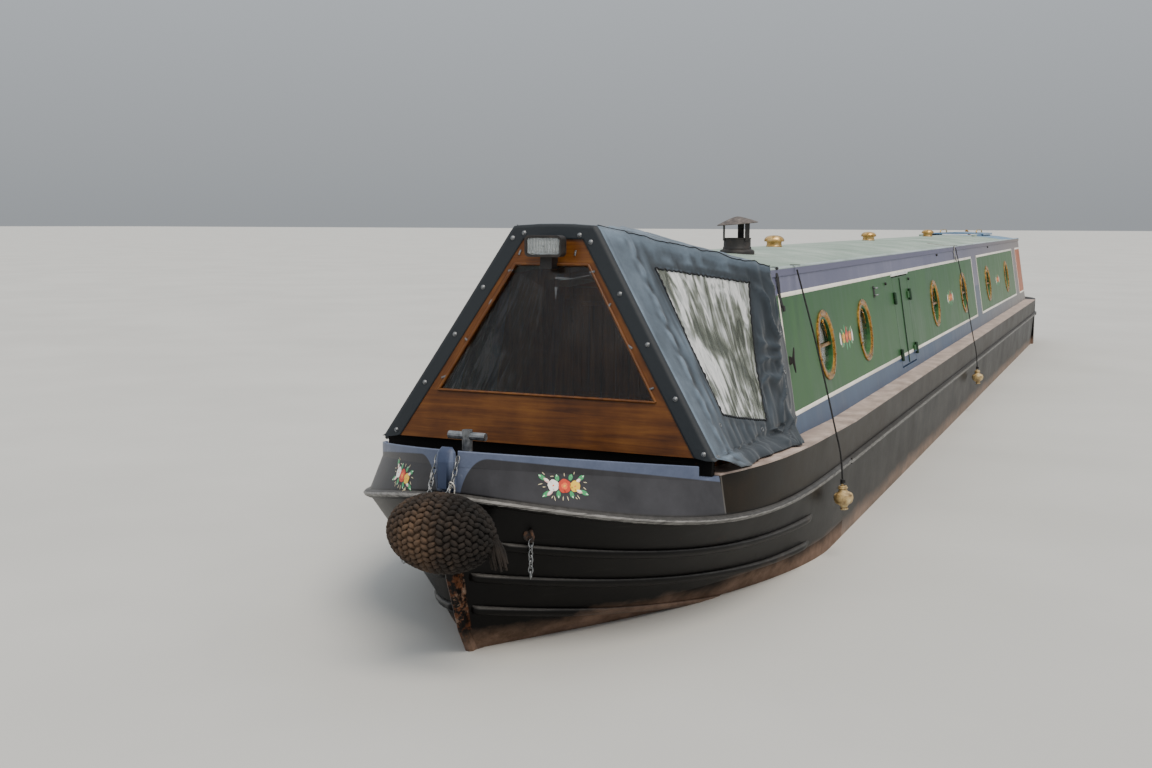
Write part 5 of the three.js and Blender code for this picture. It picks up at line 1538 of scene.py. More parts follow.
def laid(piece, surface, place, lift=0.0004):
    """Lays a flat piece, made about the origin, on a surface along a matrix's own Z."""
    back = place.inverted()
    for vertex in piece.data.vertices:
        a, b, h = vertex.co
        start = place @ Vector((a, b, 0.12))
        hit, normal = surface.ray_cast(start, -place.to_3x3().col[2])[:2]
        vertex.co = (hit + normal * (h + lift)) if hit else place @ vertex.co
    return piece


def ticks(*rows):
    """Short straw-coloured strokes that fly out from the flowers."""
    return [stroke("vein", x, y, long, 4, turn, 1) for x, y, long, turn in rows]


def spray():
    """A white, a red and a yellow rose with tipped leaves, 230 mm by 120 mm, as on the bulwark."""
    strokes = []
    for x, y, turn, long in ((-99, 45, 143, 40), (-87, -31, 212, 42), (-27, 38, 95, 30), (-28, -36, 265, 34),
                             (37, -42, 288, 34), (99, -38, -30, 44), (40, 36, 65, 30), (92, 30, 30, 36)):
        strokes.append(stroke("leaf", x, y, long, 20, turn, 0))
        strokes.append(stroke("white", *polar(x, y, 0.33 * long, turn), 0.3 * long, 4, turn, 1))
    for x, y, turn, long in ((-79, 30, 140, 32), (-68, -27, 215, 36), (75, -30, -28, 32), (76, 18, 25, 26)):
        strokes.append(stroke("pink", x, y, long, 16, turn, 1))
        strokes.append(stroke("white", x, y + 2, long * 0.8, 9, turn + 8, 2))
    strokes += rose(-49, 5, 50, ("pink", "white", "white", "orange"))
    strokes += rose(57, -6, 48, ("umber", "yellow", "yellow", "orange"))
    strokes += rose(5, -1, 60, ("umber", "red", "orange", "yellow"))
    strokes += ticks((-91, 62, 18, 130), (-51, 46, 18, 0), (-110, 15, 22, 10), (-94, 1, 15, 0), (-59, -46, 14, 50),
                     (-48, -53, 24, 100), (-8, -56, 20, 80), (15, -57, 22, 105), (57, -59, 14, 130),
                     (68, -55, 22, 120), (104, -19, 18, -45), (59, 54, 14, 75), (10, 50, 16, 90), (110, 8, 18, -10))
    return joined("spray", *strokes)


def nosegay():
    """Three roses in a row between two white scrolls, 400 mm by 115 mm, as between the portholes."""
    strokes = [stroke("leaf", x, y, 60, 26, turn, 0)
               for x, y, turn in ((-110, 38, 150), (-110, -38, 210), (-20, -52, 265), (50, -48, 285), (120, 38, 30),
                                  (120, -36, 330), (-40, 50, 110))]
    for x, turn in ((-178, 90), (158, 90)):
        strokes.append(stroke("umber", x * 0.86, 0, 70, 36, turn, 0))
        strokes.append(stroke("white", x, 0, 76, 34, turn, 1))
        strokes.append(stroke("white", x * 0.97, -22, 40, 22, turn + 40, 2))
    strokes += rose(-86, 0, 62, ("umber", "yellow", "orange", "yellow"))
    strokes += rose(88, 0, 60, ("umber", "orange", "yellow", "red"))
    strokes += rose(0, 4, 78, ("umber", "red", "orange", "yellow"))
    strokes.append(stroke("red", 0, 48, 34, 16, 90, 2))
    strokes += ticks((-130, 52, 30, 140), (-150, -46, 30, 30), (136, 50, 30, 40), (140, -46, 30, 150),
                     (30, 52, 20, 60))
    return joined("nosegay", *strokes)


for name, side in SIDES.items():
    bulwark = skin_of(f"bow_plating_{name}")
    centre = Vector((8.094, 0.402, 1.327)) if side > 0 else Vector((8.222, -0.312, 1.336))
    out = Vector((0.74, side * 0.66, 0.10))
    roses = laid(spray(), bulwark, frame_at(centre, out) @ Matrix.Scale(0.88, 4))
    placed(roses).name = f"bow_roses_{name}"
    for x in (4.740, 0.142, -4.021):
        posy = nosegay()
        posy.data.transform(side_place(x, PORT_HEIGHT, side, 0.0002))
        posy.name = f"side_roses_{name}_{x:.0f}".replace("-", "aft")
        placed(posy)
print("roses painted")

# %% [markdown]
# ## The cratch board's fittings
# The canvas strip is held to the board by domed studs, each pressed through the cloth. A quadrant bead
# holds the glass, and small bright turn-buttons on the wood hold the inner curtain's wire. Each is made once
# and copied to its places on the board's leaning face.

# %% Studs, beads and buttons
def on_face(y, z, lift=0.0):
    """The matrix of a fitting on the board's face; its Y runs up the board and its Z forwards."""
    out = Vector((1, 0, BOARD_LEAN)).normalized()
    return frame_at(Vector((board_face(z), y, z)) + out * lift, out, (0, 0, 1))


stud = turned("stud", [(0.0112, 0), (0.0112, 0.0016), (0.0095, 0.0028), (0.0088, 0.0026), (0.0074, 0.0050),
                       (0.0045, 0.0068), (0.0018, 0.0073)], galvanised, 20, 40, (False, True))
STUDS = [(-0.15, 2.335), (-0.208, 2.311), (0.133, 2.326), (0.191, 2.295), (0.349, 2.064), (0.498, 1.843),
         (0.645, 1.611), (0.791, 1.379), (-0.348, 2.079), (-0.483, 1.854), (-0.630, 1.620), (-0.771, 1.385)]
placed(copies(stud, [on_face(y, z, 0.0036) for y, z in STUDS], "cratch_studs"))

corners = [(0.552, 1.590), (0.186, 2.192), (-0.186, 2.192), (-0.552, 1.590)]
beads = []
for (y0, z0), (y1, z1) in zip(corners, corners[1:] + corners[:1]):
    ends = [on_face(y, z, 0.001).translation for y, z in ((y0, z0), (y1, z1))]
    beads.append(tube("bead", ends, 0.007, cratch_wood, 12))
placed(joined("glass_beads", *beads))

button = block("button", (0.026, 0.009, 0.003), (0, 0, 0.0045))
bevel_all(0.0012, 2)
pick(button, lambda at, out: abs(at.x) > 0.012, "VERT")
shift((0, 0, -0.0012))
button = closed(button, galvanised)
post = turned("post", [(0.0036, 0.0), (0.0036, 0.0075), (0.002, 0.0085)], galvanised, 10, 40, (False, True))
button = joined("button", button, post)
moves = []
for side in (1, -1):
    for v, turn in ((0.29, 20), (0.47, -35), (0.65, 60), (0.80, 10)):
        moves.append(on_face(side * (0.712 - 0.63 * v), BOARD_FOOT + v) @ spin(turn))
moves += [on_face(y, 2.245) @ spin(turn) for y, turn in ((-0.165, 70), (0.118, 80))]
placed(copies(button, moves, "turn_buttons"))
print("studs", len(STUDS), "buttons", len(moves))

# %% [markdown]
# ## The tunnel lamp
# A rectangular halogen lamp, 184 by 108 mm, which every canal boat needs in tunnels. The body is a rounded
# block whose front is inset and sunk for the rim; a bright parabolic dish sits in it behind a lens of
# moulded glass with upright flutes. It stands on a bent steel foot that is bolted to the board.

# %% Lamp
lamp_centre = Vector((7.4045, 0.0, 2.277))
housing = block("lamp_housing", (0.055, 0.186, 0.098), lamp_centre)
pick(housing, lambda at, way: abs(way.x) > 0.9, "EDGE")
bpy.ops.mesh.bevel(offset=0.022, segments=5)
pick(housing, lambda at, out: out.x < -0.9)
bpy.ops.mesh.inset(thickness=0.018)
shift((-0.012, 0, 0))
pick(housing, lambda at, out: out.x > 0.9)
bpy.ops.mesh.inset(thickness=0.011)
bpy.ops.mesh.inset(thickness=0.001)
shift((-0.009, 0, 0))
bpy.ops.mesh.inset(thickness=0.004)
shift((-0.024, 0, 0))
resize((1, 0.72, 0.62), lamp_centre)
housing = closed(housing, stove_black, 40)
paint = Finish("lamp_dish_aluminium", "#d8dadb", 0.12, 1.0)
facets = paint.node("TexVoronoi", {"Vector": paint.where, "Scale": 60}).outputs["Distance"]
housing.data.materials.append(paint.done(Normal=paint.bump(facets, 0.5, 0.004)))
for face in housing.data.polygons:
    inside = abs(face.center.y - lamp_centre.y) < 0.076 and abs(face.center.z - lamp_centre.z) < 0.038
    face.material_index = int(inside and face.center.x < 7.4225 and face.center.x > 7.385 and face.normal.x > -0.2)

paint = Finish("fluted_lamp_glass", "#eef2f2", 0.05)
fluted_glass = paint.done(Transmission_Weight=0.85, IOR=1.5,
                          Normal=paint.bump(paint.bands(22, "Y", distortion=0.4), 0.7, 0.004))
lens = block("lamp_lens", (0.005, 0.163, 0.075), (7.4255, 0.0, 2.277))
pick(lens, lambda at, way: abs(way.x) > 0.9, "EDGE")
bpy.ops.mesh.bevel(offset=0.016, segments=4)
pick(lens, lambda at, out: out.x > 0.9)
bpy.ops.mesh.inset(thickness=0.012)
shift((0.003, 0, 0))
lens = closed(lens, fluted_glass, 40)
bpy.ops.mesh.primitive_cylinder_add(vertices=16, radius=0.011, depth=0.030, location=(7.400, 0.0, 2.277),
                                    rotation=(0, math.pi / 2, 0))
bulb = opened("lamp_bulb")
pick(bulb, lambda at, out: out.x > 0.9)
bpy.ops.mesh.inset(thickness=0.005)
shift((0.006, 0, 0))
bulb = closed(bulb, fluted_glass, 60)

foot = block("lamp_foot", (0.072, 0.060, 0.005), (7.360, 0.0, 2.2245))
pick(foot, lambda at, out: out.x < -0.9)
extrude((-0.005, 0, 0))
pick(foot, lambda at, out: out.z < -0.9 and at.x < 7.325)
extrude((0.008, 0, -0.050))
bevel_all(0.001, 1)
foot = closed(foot, stove_black)
bolt = turned("bolt", [(0.008, 0), (0.008, 0.006), (0.004, 0.008)], galvanised, 6, 20, (False, True))
bolts = copies(bolt, [on_face(dy, 2.195, 0.005) for dy in (-0.018, 0.018)], "bolts")
lamp = joined("tunnel_lamp", bulb, lens, bolts, foot, housing)
placed(lamp, stands_for=["headlamp"])
print("lamp", [round(v, 3) for v in lamp.dimensions])

# %% [markdown]
# ## Side fenders
# Moulded PVC fenders hang over each side on thin black line: a round float with a thick ribbed neck and an
# eye, through which the line is knotted. The float is a sphere drawn out and waisted towards the neck. The
# line is taut from a steel hook on the roof's edge rail, over the gunwale's rim, down to the eye.

# %% Floats, lines and hooks
def fender_float():
    """One float about the origin, 152 mm high with its neck up."""
    bpy.ops.mesh.primitive_uv_sphere_add(segments=32, ring_count=20, radius=0.052, location=(0, 0, 0))
    ball = opened("float")
    pick(ball, lambda at, out: at.z > 0.030, "VERT")
    resize((0.62, 0.62, 1.6), (0, 0, 0.030))
    pick(ball, lambda at, out: at.z < -0.036, "VERT")
    resize((0.7, 0.7, 1.5), (0, 0, -0.036))
    ball = closed(ball, cream_plastic, 60)
    modify(ball, "SUBSURF", levels=1, render_levels=1)
    ribs = []
    for z, r in ((0.052, 0.0225), (0.060, 0.0185), (-0.060, 0.018)):
        ribs.append(closed(ring(r, 0.0045, 28, location=(0, 0, z)), cream_plastic))
    eye = closed(ring(0.0105, 0.0045, location=(0, 0, 0.071), rotation=(math.pi / 2, 0, 0)), cream_plastic)
    return joined("float", eye, *ribs, ball)


paint = Finish("black_braided_line", "#0c0b0b", 0.7)
black_line = paint.done(Normal=paint.bump(paint.bands(45, "DIAGONAL", distortion=1.5), 0.8, 0.002))
for name, side in SIDES.items():
    for end, x, back in (("fore", 6.020, 0.178), ("aft", 0.140, 0.590)):
        ball = fender_float()
        ball.data.transform(Matrix.Translation((x, side * 1.103, 0.931)) @ Matrix.Rotation(side * 0.10, 4, "X"))
        path = [(0, 1.098, 1.005), (-0.003, 1.080, 1.170), (-0.04 * back, 1.052, 1.280),
                (-0.45 * back, 0.930, 1.690), (-back, 0.778, 2.130)]
        line = tube("line", [(x + a, side * y, z) for a, y, z in path], 0.0046, black_line)
        loops = [tube("knot", [(x + 0.011 * math.cos(t) + 0.002, side * (1.098 + 0.010 * math.sin(t)),
                                1.012 + 0.006 * turn + 0.003 * math.sin(t + turn))
                               for t in [i * math.pi / 4 for i in range(8)]], 0.0045, black_line, cyclic=True)
                 for turn in (0, 1, 2)]
        hook = block("hook", (0.026, 0.050, 0.004), (x - back, side * 0.7645, 2.156))
        pick(hook, lambda at, out: out.y * side > 0.9)
        extrude((0, side * 0.004, 0))
        pick(hook, lambda at, out: out.z < -0.9 and at.y * side > 0.789)
        extrude((0, 0, -0.034))
        bevel_all(0.0012, 1)
        hook = closed(hook, stove_black)
        placed(joined(f"side_fender_hung_{name}_{end}", line, *loops, hook, ball),
               stands_for=[f"side_fender_{name}_{end}"])
print("side fenders hung")

# %% [markdown]
# ## The chimney
# A short steel stove pipe stands in a cast collar on the roof. Three wide straps hold a coned hat over it,
# which has been knocked askew and has weathered to a rusty grey.

# %% Chimney
rusty_steel = finish_of("weathered_rusty_steel", ("#3a3431", "#59514d", "#776e69"), 0.75, size=0.03, bump=0.4)
CHIMNEY_X, CHIMNEY_Y = 5.150, 0.230
CHIMNEY_FOOT = Vector((CHIMNEY_X, CHIMNEY_Y, roof_height(CHIMNEY_Y) + 0.024))
STRAP_TURNS = (62, 182, 302)
flue = turned("flue", [(0.105, -0.040), (0.106, -0.014), (0.101, -0.006), (0.087, 0.0), (0.085, 0.012),
                       (0.0825, 0.016), (0.0820, 0.062), (0.0845, 0.063), (0.0845, 0.068), (0.0800, 0.068),
                       (0.0790, 0.010)], stove_black, 56, 40)
strap = block("strap", (0.003, 0.040, 0.110), (0.0835, 0, 0.106))
pick(strap, lambda at, way: abs(way.z) > 0.9, "EDGE")
bpy.ops.mesh.bevel(offset=0.001, segments=1)
bpy.ops.mesh.select_all(action="SELECT")
bpy.ops.mesh.subdivide(number_cuts=3)
strap = closed(strap, stove_black)
straps = copies(strap, [spin(turn) for turn in STRAP_TURNS], "straps")
hat = turned("hat", [(0.122, 0.150), (0.125, 0.1515), (0.124, 0.155), (0.090, 0.170), (0.050, 0.185),
                     (0.022, 0.194), (0.006, 0.197), (0.022, 0.190), (0.050, 0.181), (0.090, 0.166),
                     (0.120, 0.1525), (0.122, 0.150)], rusty_steel, 56, 30)
hat.data.transform(Matrix.Translation((0, 0, 0.155)) @ Matrix.Rotation(math.radians(5), 4, (0.9, 0.4, 0))
                   @ Matrix.Translation((0, 0, -0.155)))
rivet = turned("rivet", [(0.004, 0), (0.0036, 0.0014), (0.0015, 0.0020)], stove_black, 8, 40, (False, True))
rivets = copies(rivet, [spin(turn) @ Matrix.Translation((0.085, y, z)) @ spin(90, "Y")
                        for turn in STRAP_TURNS for y in (-0.011, 0.011) for z in (0.060, 0.150)], "rivets")
chimney = joined("stove_chimney", straps, hat, rivets, flue)
chimney.data.transform(Matrix.Translation(CHIMNEY_FOOT))
placed(chimney, stands_for=["chimney"])

# %% [markdown]
# ## Mushroom ventilators
# Cast and polished brass: a waisted neck with a bead at its foot, and a domed cap with a rolled rim. They
# are turned to their section, like the portholes.

# %% Ventilators
vent_brass = finish_of("lacquered_cast_brass", ("#8d6a33", "#bd9656", "#e0c08a"), 0.32, 0.75, size=0.04)
vent = turned("vent", [(0.060, 0.000), (0.060, 0.004), (0.056, 0.008), (0.054, 0.022), (0.056, 0.036),
                       (0.0735, 0.038), (0.0740, 0.044), (0.0730, 0.051), (0.069, 0.060), (0.061, 0.069),
                       (0.048, 0.0765), (0.028, 0.0815), (0.006, 0.083)], vent_brass, 48, 50, (False, True))
for name, x in (("fore", 3.450), ("middle", -0.050), ("aft", -3.750)):
    standing = twin(vent, f"ventilator_{name}", Matrix.Translation((x, 0, 2.2053)))
    placed(standing, stands_for=[f"mushroom_vent_{name}"])
bpy.data.objects.remove(vent)
print("ventilators set")

# %% [markdown]
# ## The side hatch
# The hatch has two leaves on stout lift-off hinges: dark green barrels with domed ends. A dark rebate strip
# on the fore leaf covers the joint between the leaves, and a pale folded rain strip over the hatch sheds
# water. Barrels and rebate move with their leaves; the rain strip and two rubber buffers, which hold the
# open leaves off the paint, stay on the cabin.

# %% Hatch barrels, rebate and rain strip
dark_green = finish_of("dark_green_enamel", ("#0f2417", "#17331f", "#24452c"), 0.4, size=0.03)
rubber = finish_of("black_rubber", ("#0b0b0b", "#151414", "#232120"), 0.7, size=0.01)
white_trim = finish_of("white_enamelled_steel", ("#c2c4c4", "#e2e3e1", "#f3f2ee"), 0.4, size=0.05)


def slab(name, size, material, bevel=0.001, segments=1):
    """A plate about the origin whose edges are bevelled."""
    plate = block(name, size)
    bevel_all(bevel, segments)
    return closed(plate, material)


barrel = turned("barrel", [(0.004, -0.047), (0.009, -0.0455), (0.0122, -0.0415), (0.0124, -0.001),
                           (0.0112, -0.0005), (0.0112, 0.0005), (0.0124, 0.001), (0.0122, 0.0415),
                           (0.009, 0.0455), (0.004, 0.047)], dark_green, 20, 30, (True, True))
for name, side in SIDES.items():
    for end, x in (("fore", 3.008), ("aft", 2.362)):
        pins = []
        for up in (0.088, 0.515):
            foot = side_place(x, 1.312, side, 0.012)
            pins.append(twin(barrel, "pin", foot @ Matrix.Translation((0, up, 0)) @ spin(-90, "X")))
        if end == "fore":
            strip = slab("rebate", (0.016, 0.648, 0.006), dark_green, 0.0015)
            strip.data.transform(side_place(2.699, 1.640, side, 0.0035))
            pins.append(strip)
        placed(joined(f"hatch_hinges_{name}_{end}", *pins), f"side_hatch_{name}_{end}")
    rain = slab("rain_strip", (0.700, 0.022, 0.011), white_trim, 0.002, 2)
    rain.data.transform(side_place(2.700, 1.9930, side, 0.0055))
    placed(rain).name = f"rain_strip_{name}"
    buffer = turned("buffer", [(0.011, 0), (0.011, 0.007), (0.009, 0.012), (0.004, 0.014)], rubber, 16, 50,
                    (False, True))
    placed(copies(buffer, [side_place(3.285, 1.941, side), side_place(2.315, 1.939, side),
                           side_place(0.693, 2.088, side), side_place(-3.328, 2.088, side)], f"buffers_{name}"))
bpy.data.objects.remove(barrel)
print("hatch fitted")

# %% [markdown]
# ## Eyes, cleats and straps on the cabin side
# A double eye for a lashing, a small horn cleat that the cover's cord is made off to, a black webbing strap
# with a buckle that hangs from the roof's fore corner, and a pale one over the edge rail further aft. The
# cleat is a bar whose ends are extruded and drawn out to horns. A strap is a plane extruded along its way.

# %% Cleats, eyes and webbing
black_web = finish_of("black_polyester_webbing", ("#0e0e0f", "#171718", "#262627"), 0.8, size=0.006, bump=0.5)
pale_web = finish_of("faded_grey_webbing", ("#77756f", "#9d9a93", "#bdbab2"), 0.85, size=0.006, bump=0.5)


def strap_along(name, points, wide, thick, material):
    """Webbing of a width along X that follows points given as (x, y, z)."""
    bpy.ops.mesh.primitive_plane_add(size=1, location=points[0])
    web = opened(name)
    bpy.ops.mesh.select_all(action="SELECT")
    bpy.ops.transform.resize(value=(wide, 0.0, 1), center_override=points[0])
    bpy.ops.mesh.remove_doubles(threshold=1e-5)
    bpy.ops.mesh.select_all(action="SELECT")
    for a, b in zip(points, points[1:]):
        bpy.ops.mesh.extrude_edges_move(TRANSFORM_OT_translate={"value": Vector(b) - Vector(a)})
    closed(web, material, 60, outwards=False)
    modify(web, "SOLIDIFY", thickness=thick, offset=0)
    modify(web, "BEVEL", width=thick * 0.3, segments=1)
    return closed(web, material, 40)


cleat = block("cleat", (0.030, 0.012, 0.012), (0, 0, 0.022))
for way in (1, -1):
    for step, size in ((0.026, 0.8), (0.026, 0.6)):
        pick(cleat, lambda at, out: out.x * way > 0.9)
        extrude((way * step, 0, 0.003))
        bpy.ops.transform.resize(value=(1, size, size))
pick(cleat, lambda at, out: out.z < -0.9 and abs(at.x) < 0.016)
extrude((0, 0, -0.012))
bpy.ops.transform.resize(value=(1.5, 1.7, 1))
extrude((0, 0, -0.004))
cleat = closed(cleat, stove_black, 40)
modify(cleat, "BEVEL", width=0.0015, segments=2)
eye_plate = slab("eye_plate", (0.050, 0.080, 0.004), stove_black)
eye_plate.data.transform(Matrix.Translation((0, 0, 0.002)))
rings = []
for up in (-0.024, 0.024):
    rings.append(closed(ring(0.015, 0.0045, location=(0, up, 0.014), rotation=(math.pi / 2, 0.5, 0)),
                        galvanised))
eyes = joined("eyes", *rings, eye_plate)
for name, side in SIDES.items():
    pieces = [twin(piece, "fitting", side_place(x, z, side) @ spin(turn))
              for piece, x, z, turn in ((cleat, 6.150, 1.665, 80), (eyes, 3.720, 1.905, 0))]
    placed(joined(f"cabin_cleat_and_eyes_{name}", *pieces))
    down = [side_place(6.205 - 0.0022 * i ** 1.4, 2.135 - 0.024 * i, side,
                       0.006 + 0.004 * math.sin(i * 0.8)).translation for i in range(9)]
    over = [(6.207, side * y, z) for y, z in ((0.700, 2.150), (0.735, 2.156), (0.762, 2.156), (0.768, 2.150))]
    web = strap_along("black_strap", over + down, 0.042, 0.0022, black_web)
    buckle = slab("buckle", (0.034, 0.030, 0.008), rubber, 0.002, 2)
    buckle.data.transform(side_place(6.165, 1.936, side, 0.011))
    placed(joined(f"hanging_strap_{name}", web, buckle))
    over = [(-0.434, side * y, z + 0.003)
            for y, z in ((0.500, 2.175), (0.620, 2.160), (0.727, 2.150), (0.733, 2.1535), (0.762, 2.1535),
                         (0.767, 2.148), (0.768, 2.108))]
    down = [side_place(-0.434, z, side, lift).translation
            for z, lift in ((2.090, 0.008), (2.050, 0.009), (2.010, 0.014), (1.998, 0.020), (2.012, 0.024),
                            (2.050, 0.020))]
    placed(strap_along(f"roof_strap_{name}", over + down, 0.040, 0.003, pale_web))
for piece in (cleat, eyes):
    bpy.data.objects.remove(piece)
print("straps and cleats set")

# %% [markdown]
# ## Eyelets of the cover
# Nickelled eyelets are pressed through the cover's aft border and along its foot, where it is laced down.
# Rays shot at the finished cloth find where each one lies.

# %% Eyelets
sheet_skin = skin_of("cratch_canvas")
eyelet = closed(ring(0.0085, 0.0028), galvanised)
moves = []
for side in SIDES.values():
    spots = [((7.417 - BOARD_LEAN * 0.05, side * 1.4, 1.432), (0, -side, -0.12)),
             ((6.300, side * 1.4, 1.420), (0, -side, 0)), ((6.290, side * 1.4, 1.620), (0, -side, 0)),
             ((6.280, side * 1.4, 1.820), (0, -side, 0)), ((6.270, side * 1.4, 2.020), (0, -side, 0)),
             ((7.193, side * 1.4, 1.532), (0, -side, -0.1)), ((6.750, side * 1.4, 1.390), (0, -side, 0))]
    for start, way in spots:
        hit, normal = sheet_skin.ray_cast(Vector(start), Vector(way).normalized())[:2]
        if hit:
            normal = normal if normal.y * side > 0 else -normal
            moves.append(frame_at(hit + normal * 0.0008, normal))
placed(copies(eyelet, moves, "cover_eyelets"))
print("eyelets", len(moves))

# %% [markdown]
# ## Bow eyes
# Under the top strake, each bow has a welded lug with a short length of thin chain, from which a fender
# can be slung. A link is a torus stretched along its length. Each link hangs in the one above, a quarter
# turn on, and the lot lies against the plates.

# %% Eyes with links
rusty_iron = finish_of("rusty_black_iron", ("#17110e", "#2c1f18", "#5b3c28"), 0.75, size=0.02, bump=0.4)


def chain_link(turn, down, out):
    """A chain link hung below the eye; out is how far it stands off the plate."""
    ring(0.0095, 0.0028)
    link = opened("link")
    bpy.ops.mesh.select_all(action="SELECT")
    resize((1, 1.6, 1), (0, 0, 0))
    link = closed(link, galvanised, 60)
    link.data.transform(Matrix.Translation((0, -down, out)) @ Matrix.Rotation(turn, 4, "Y"))
    return link


for name, side in SIDES.items():
    hull_plates = skin_of(f"bow_plating_{name}")
    out = Vector((0.66, side * 0.75, 0.0)).normalized()
    hit = hull_plates.ray_cast(Vector((8.176, side * 0.292, 1.128)) + out * 0.2, -out)[0]
    place = frame_at(hit, out)
    lug = closed(ring(0.021, 0.007, 28, 10), rusty_iron)
    lug.data.transform(Matrix.Translation((0, 0, 0.016)) @ spin(90, "Y"))
    foot = turned("foot", [(0.026, -0.004), (0.026, 0.003), (0.022, 0.006), (0.006, 0.007)], rusty_iron, 24, 40,
                  (False, True))
    links = [chain_link(math.pi / 2 * (i % 2) + 0.15 * i, 0.030 + 0.022 * i, 0.016 - 0.001 * (i % 3))
             for i in range(7)]
    eye = joined(f"bow_eye_{name}", lug, foot, *links)
    eye.data.transform(place)
    placed(eye)
print("bow eyes hung")

# %% [markdown]
# ## The stern
# The stern button is knitted like the one at the bow, and hangs on two short chains from the counter. The
# helmsman stands on the counter with one hand on the tiller: a brass swan's neck with a turned ash handle,
# held by a pin. The propeller needs no more than its bronze, and the two anodes are plain zinc bars.

# %% Stern button, tiller grip and anodes
random.seed(12)
core, loops = knitted_bun(Vector((-8.5325, 0, 1.044)), Vector((0.087, 0.161, 0.141)), 15)
links = []
for side in (1, -1):
    for i in range(5):
        link = closed(ring(0.010, 0.003, 16), galvanised)
        link.data.transform(Matrix.Translation((-8.475 + 0.013 * i, side * (0.060 + 0.004 * i), 1.176 + 0.0165 * i))
                            @ Matrix.Rotation(math.pi / 2 * (i % 2), 4, "Z") @ Matrix.Rotation(1.2, 4, "Y")
                            @ Matrix.Diagonal((1.5, 1, 1, 1)))
        links.append(link)
placed(joined("stern_button", *links, core, loops), stands_for=["stern_fender"])

ash = wood("oiled_ash_handle", ("#7c5a34", "#a27b4b", "#c09a68"), "x", 0.45)
grip = turned("grip", [(0.0185, 0.0), (0.0195, 0.004), (0.0195, 0.020), (0.0185, 0.024), (0.0192, 0.034),
                       (0.0215, 0.090), (0.0225, 0.150), (0.0205, 0.220), (0.0190, 0.262), (0.0215, 0.280),
                       (0.0220, 0.292), (0.0180, 0.302), (0.0080, 0.306)], ash, 28, 50, (False, True))
grip.data.materials.append(polished_brass)
for face in grip.data.polygons:
    face.material_index = int(face.center.z < 0.024)
# The tiller's last stretch rises 52 mm over 310 mm, and the grip is drawn over its end.
TILLER_RISE, TILLER_RUN, GRIP_BACK = 0.052, 0.31, 0.309
way = Vector((TILLER_RUN, 0, TILLER_RISE)).normalized()
tiller_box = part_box("tiller")
start = Vector((tiller_box[1][0], 0, 0)) - way * GRIP_BACK
start.z = 2.198 + (start.x + 7.775) * TILLER_RISE / TILLER_RUN
grip.data.transform(frame_at(start, way, (0, 1, 0)))
placed(grip, "steering").name = "tiller_grip"
print("tiller from", [round(v, 3) for v in tiller_box[0]], "to", [round(v, 3) for v in tiller_box[1]])

zinc = finish_of("weathered_zinc", ("#6f7472", "#8d918e", "#a9aca8"), 0.7, 0.4, size=0.02, bump=0.5)
for name, side in SIDES.items():
    skin = skin_of(f"swim_{name}")
    hit, normal = skin.ray_cast(Vector((-7.0, side * 1.5, 0.33)), Vector((0, -side, 0)))[:2]
    anode = slab("anode", (0.300, 0.065, 0.030), zinc, 0.008, 2)
    anode.data.transform(frame_at(hit + normal * 0.013, normal if normal.y * side > 0 else -normal))
    placed(anode).name = f"anode_{name}"
print("stern fitted")

# %% [markdown]
# ## Doors and hatch
# The doors are boards in a frame. A moulding is a plate whose face is inset and sunk, so each leaf gets its panels
# as one plate. The fore doors are glazed above, and brass knobs are turned and laid on. The gas locker lid gets a
# pull, and the slide has two hand rails.

# %% Mouldings, knobs and rails
def moulding(wide, tall, material, thick=0.010):
    """A raised frame with a sunk field, about the origin, facing +Z."""
    frame_piece = block("moulding", (wide, tall, thick), (0, 0, thick / 2))
    pick(frame_piece, lambda at, out: out.z > 0.9)
    bpy.ops.mesh.inset(thickness=0.006)
    shift((0, 0, 0.003))
    bpy.ops.mesh.inset(thickness=0.014)
    bpy.ops.mesh.inset(thickness=0.005)
    shift((0, 0, -0.009))
    return closed(frame_piece, material)


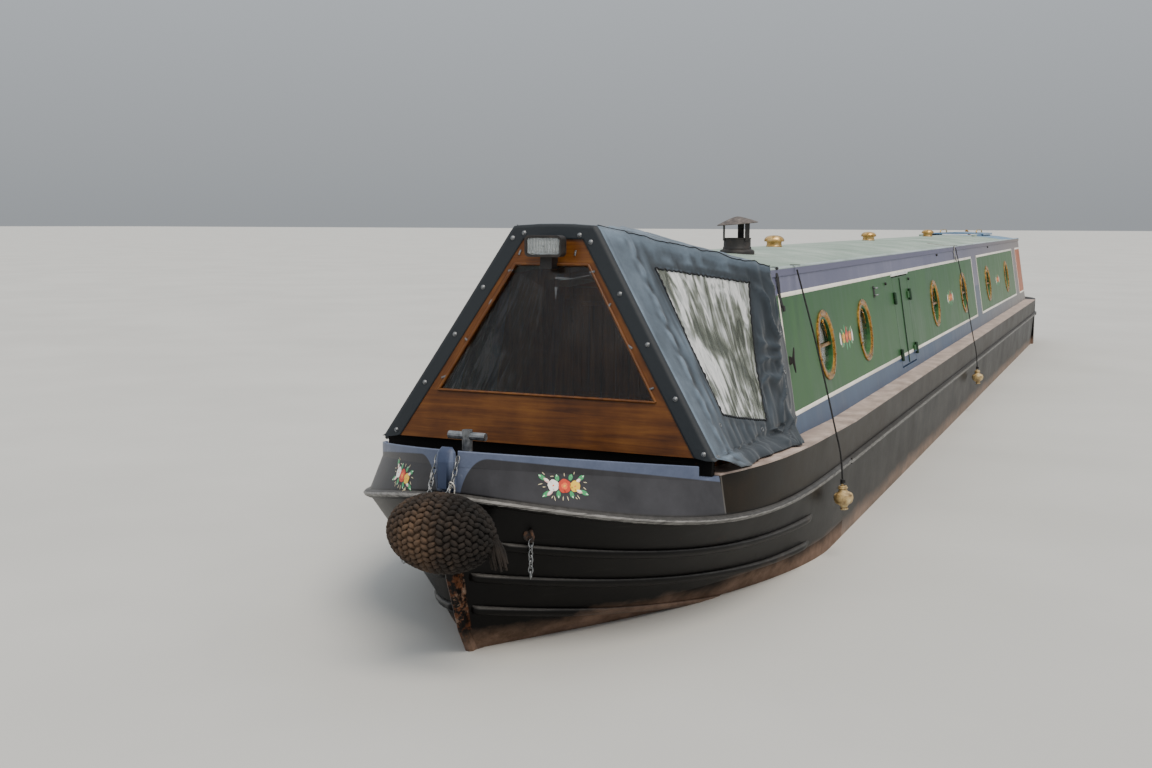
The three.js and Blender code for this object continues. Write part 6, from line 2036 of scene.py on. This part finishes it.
knob = turned("knob", [(0.024, 0), (0.024, 0.003), (0.009, 0.006), (0.008, 0.018), (0.015, 0.022), (0.020, 0.030),
                       (0.018, 0.038), (0.010, 0.043), (0.003, 0.044)], polished_brass, 28, 50, (False, True))
for name, side in SIDES.items():
    low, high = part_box(f"rear_door_{name}")
    centre_y = (low[1] + high[1]) / 2 - side * 0.008
    aft = Matrix(((0, 0, -1, -7.312), (-1, 0, 0, centre_y), (0, 1, 0, 0), (0, 0, 0, 1)))
    pieces = [moulding(0.215, 0.300, slate_enamel), moulding(0.215, 0.300, slate_enamel)]
    for piece, z in zip(pieces, (1.520, 1.865)):
        piece.data.transform(aft @ Matrix.Translation((0, z, -0.003)))
    place = Matrix.Translation((0, -side * 0.118, 0)) @ aft @ Matrix.Translation((0, 1.690, -0.003))
    placed(joined(f"rear_door_panels_{name}", *pieces, twin(knob, "knob", place)), f"rear_door_{name}")

    low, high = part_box(f"front_door_{name}")
    centre_y = (low[1] + high[1]) / 2 - side * 0.008
    fore = Matrix(((0, 0, 1, 6.362), (1, 0, 0, centre_y), (0, 1, 0, 0), (0, 0, 0, 1)))
    lower, upper = moulding(0.245, 0.420, door_wood), moulding(0.245, 0.520, door_wood)
    lower.data.transform(fore @ Matrix.Translation((0, 1.120, -0.003)))
    upper.data.transform(fore @ Matrix.Translation((0, 1.700, -0.003)))
    window = slab("window", (0.190, 0.465, 0.003), glass, 0.0008)
    window.data.transform(fore @ Matrix.Translation((0, 1.700, 0.0055)))
    place = Matrix.Translation((0, -side * 0.130, 0)) @ fore @ Matrix.Translation((0, 1.390, -0.003))
    placed(joined(f"front_door_panels_{name}", lower, upper, window, twin(knob, "knob", place)),
           f"front_door_{name}")

rails = []
for y in (-0.250, 0.250):
    path = [(-7.180, y, 2.214), (-7.175, y, 2.252), (-7.140, y, 2.262), (-6.600, y, 2.262), (-6.565, y, 2.252),
            (-6.560, y, 2.214)]
    rails.append(tube("rail", path, 0.009, polished_brass, 12))
placed(joined("slide_rails", *rails), "sliding_hatch")
pull = tube("pull", [(0, -0.050, 0.0), (0, -0.046, 0.020), (0, -0.030, 0.028), (0, 0.030, 0.028),
                     (0, 0.046, 0.020), (0, 0.050, 0.0)], 0.005, galvanised, 10)
pull.data.transform(Matrix.Translation((7.930, 0, 1.338)))
placed(pull, "gas_locker_lid").name = "locker_pull"
bpy.data.objects.remove(knob)
print("doors dressed")
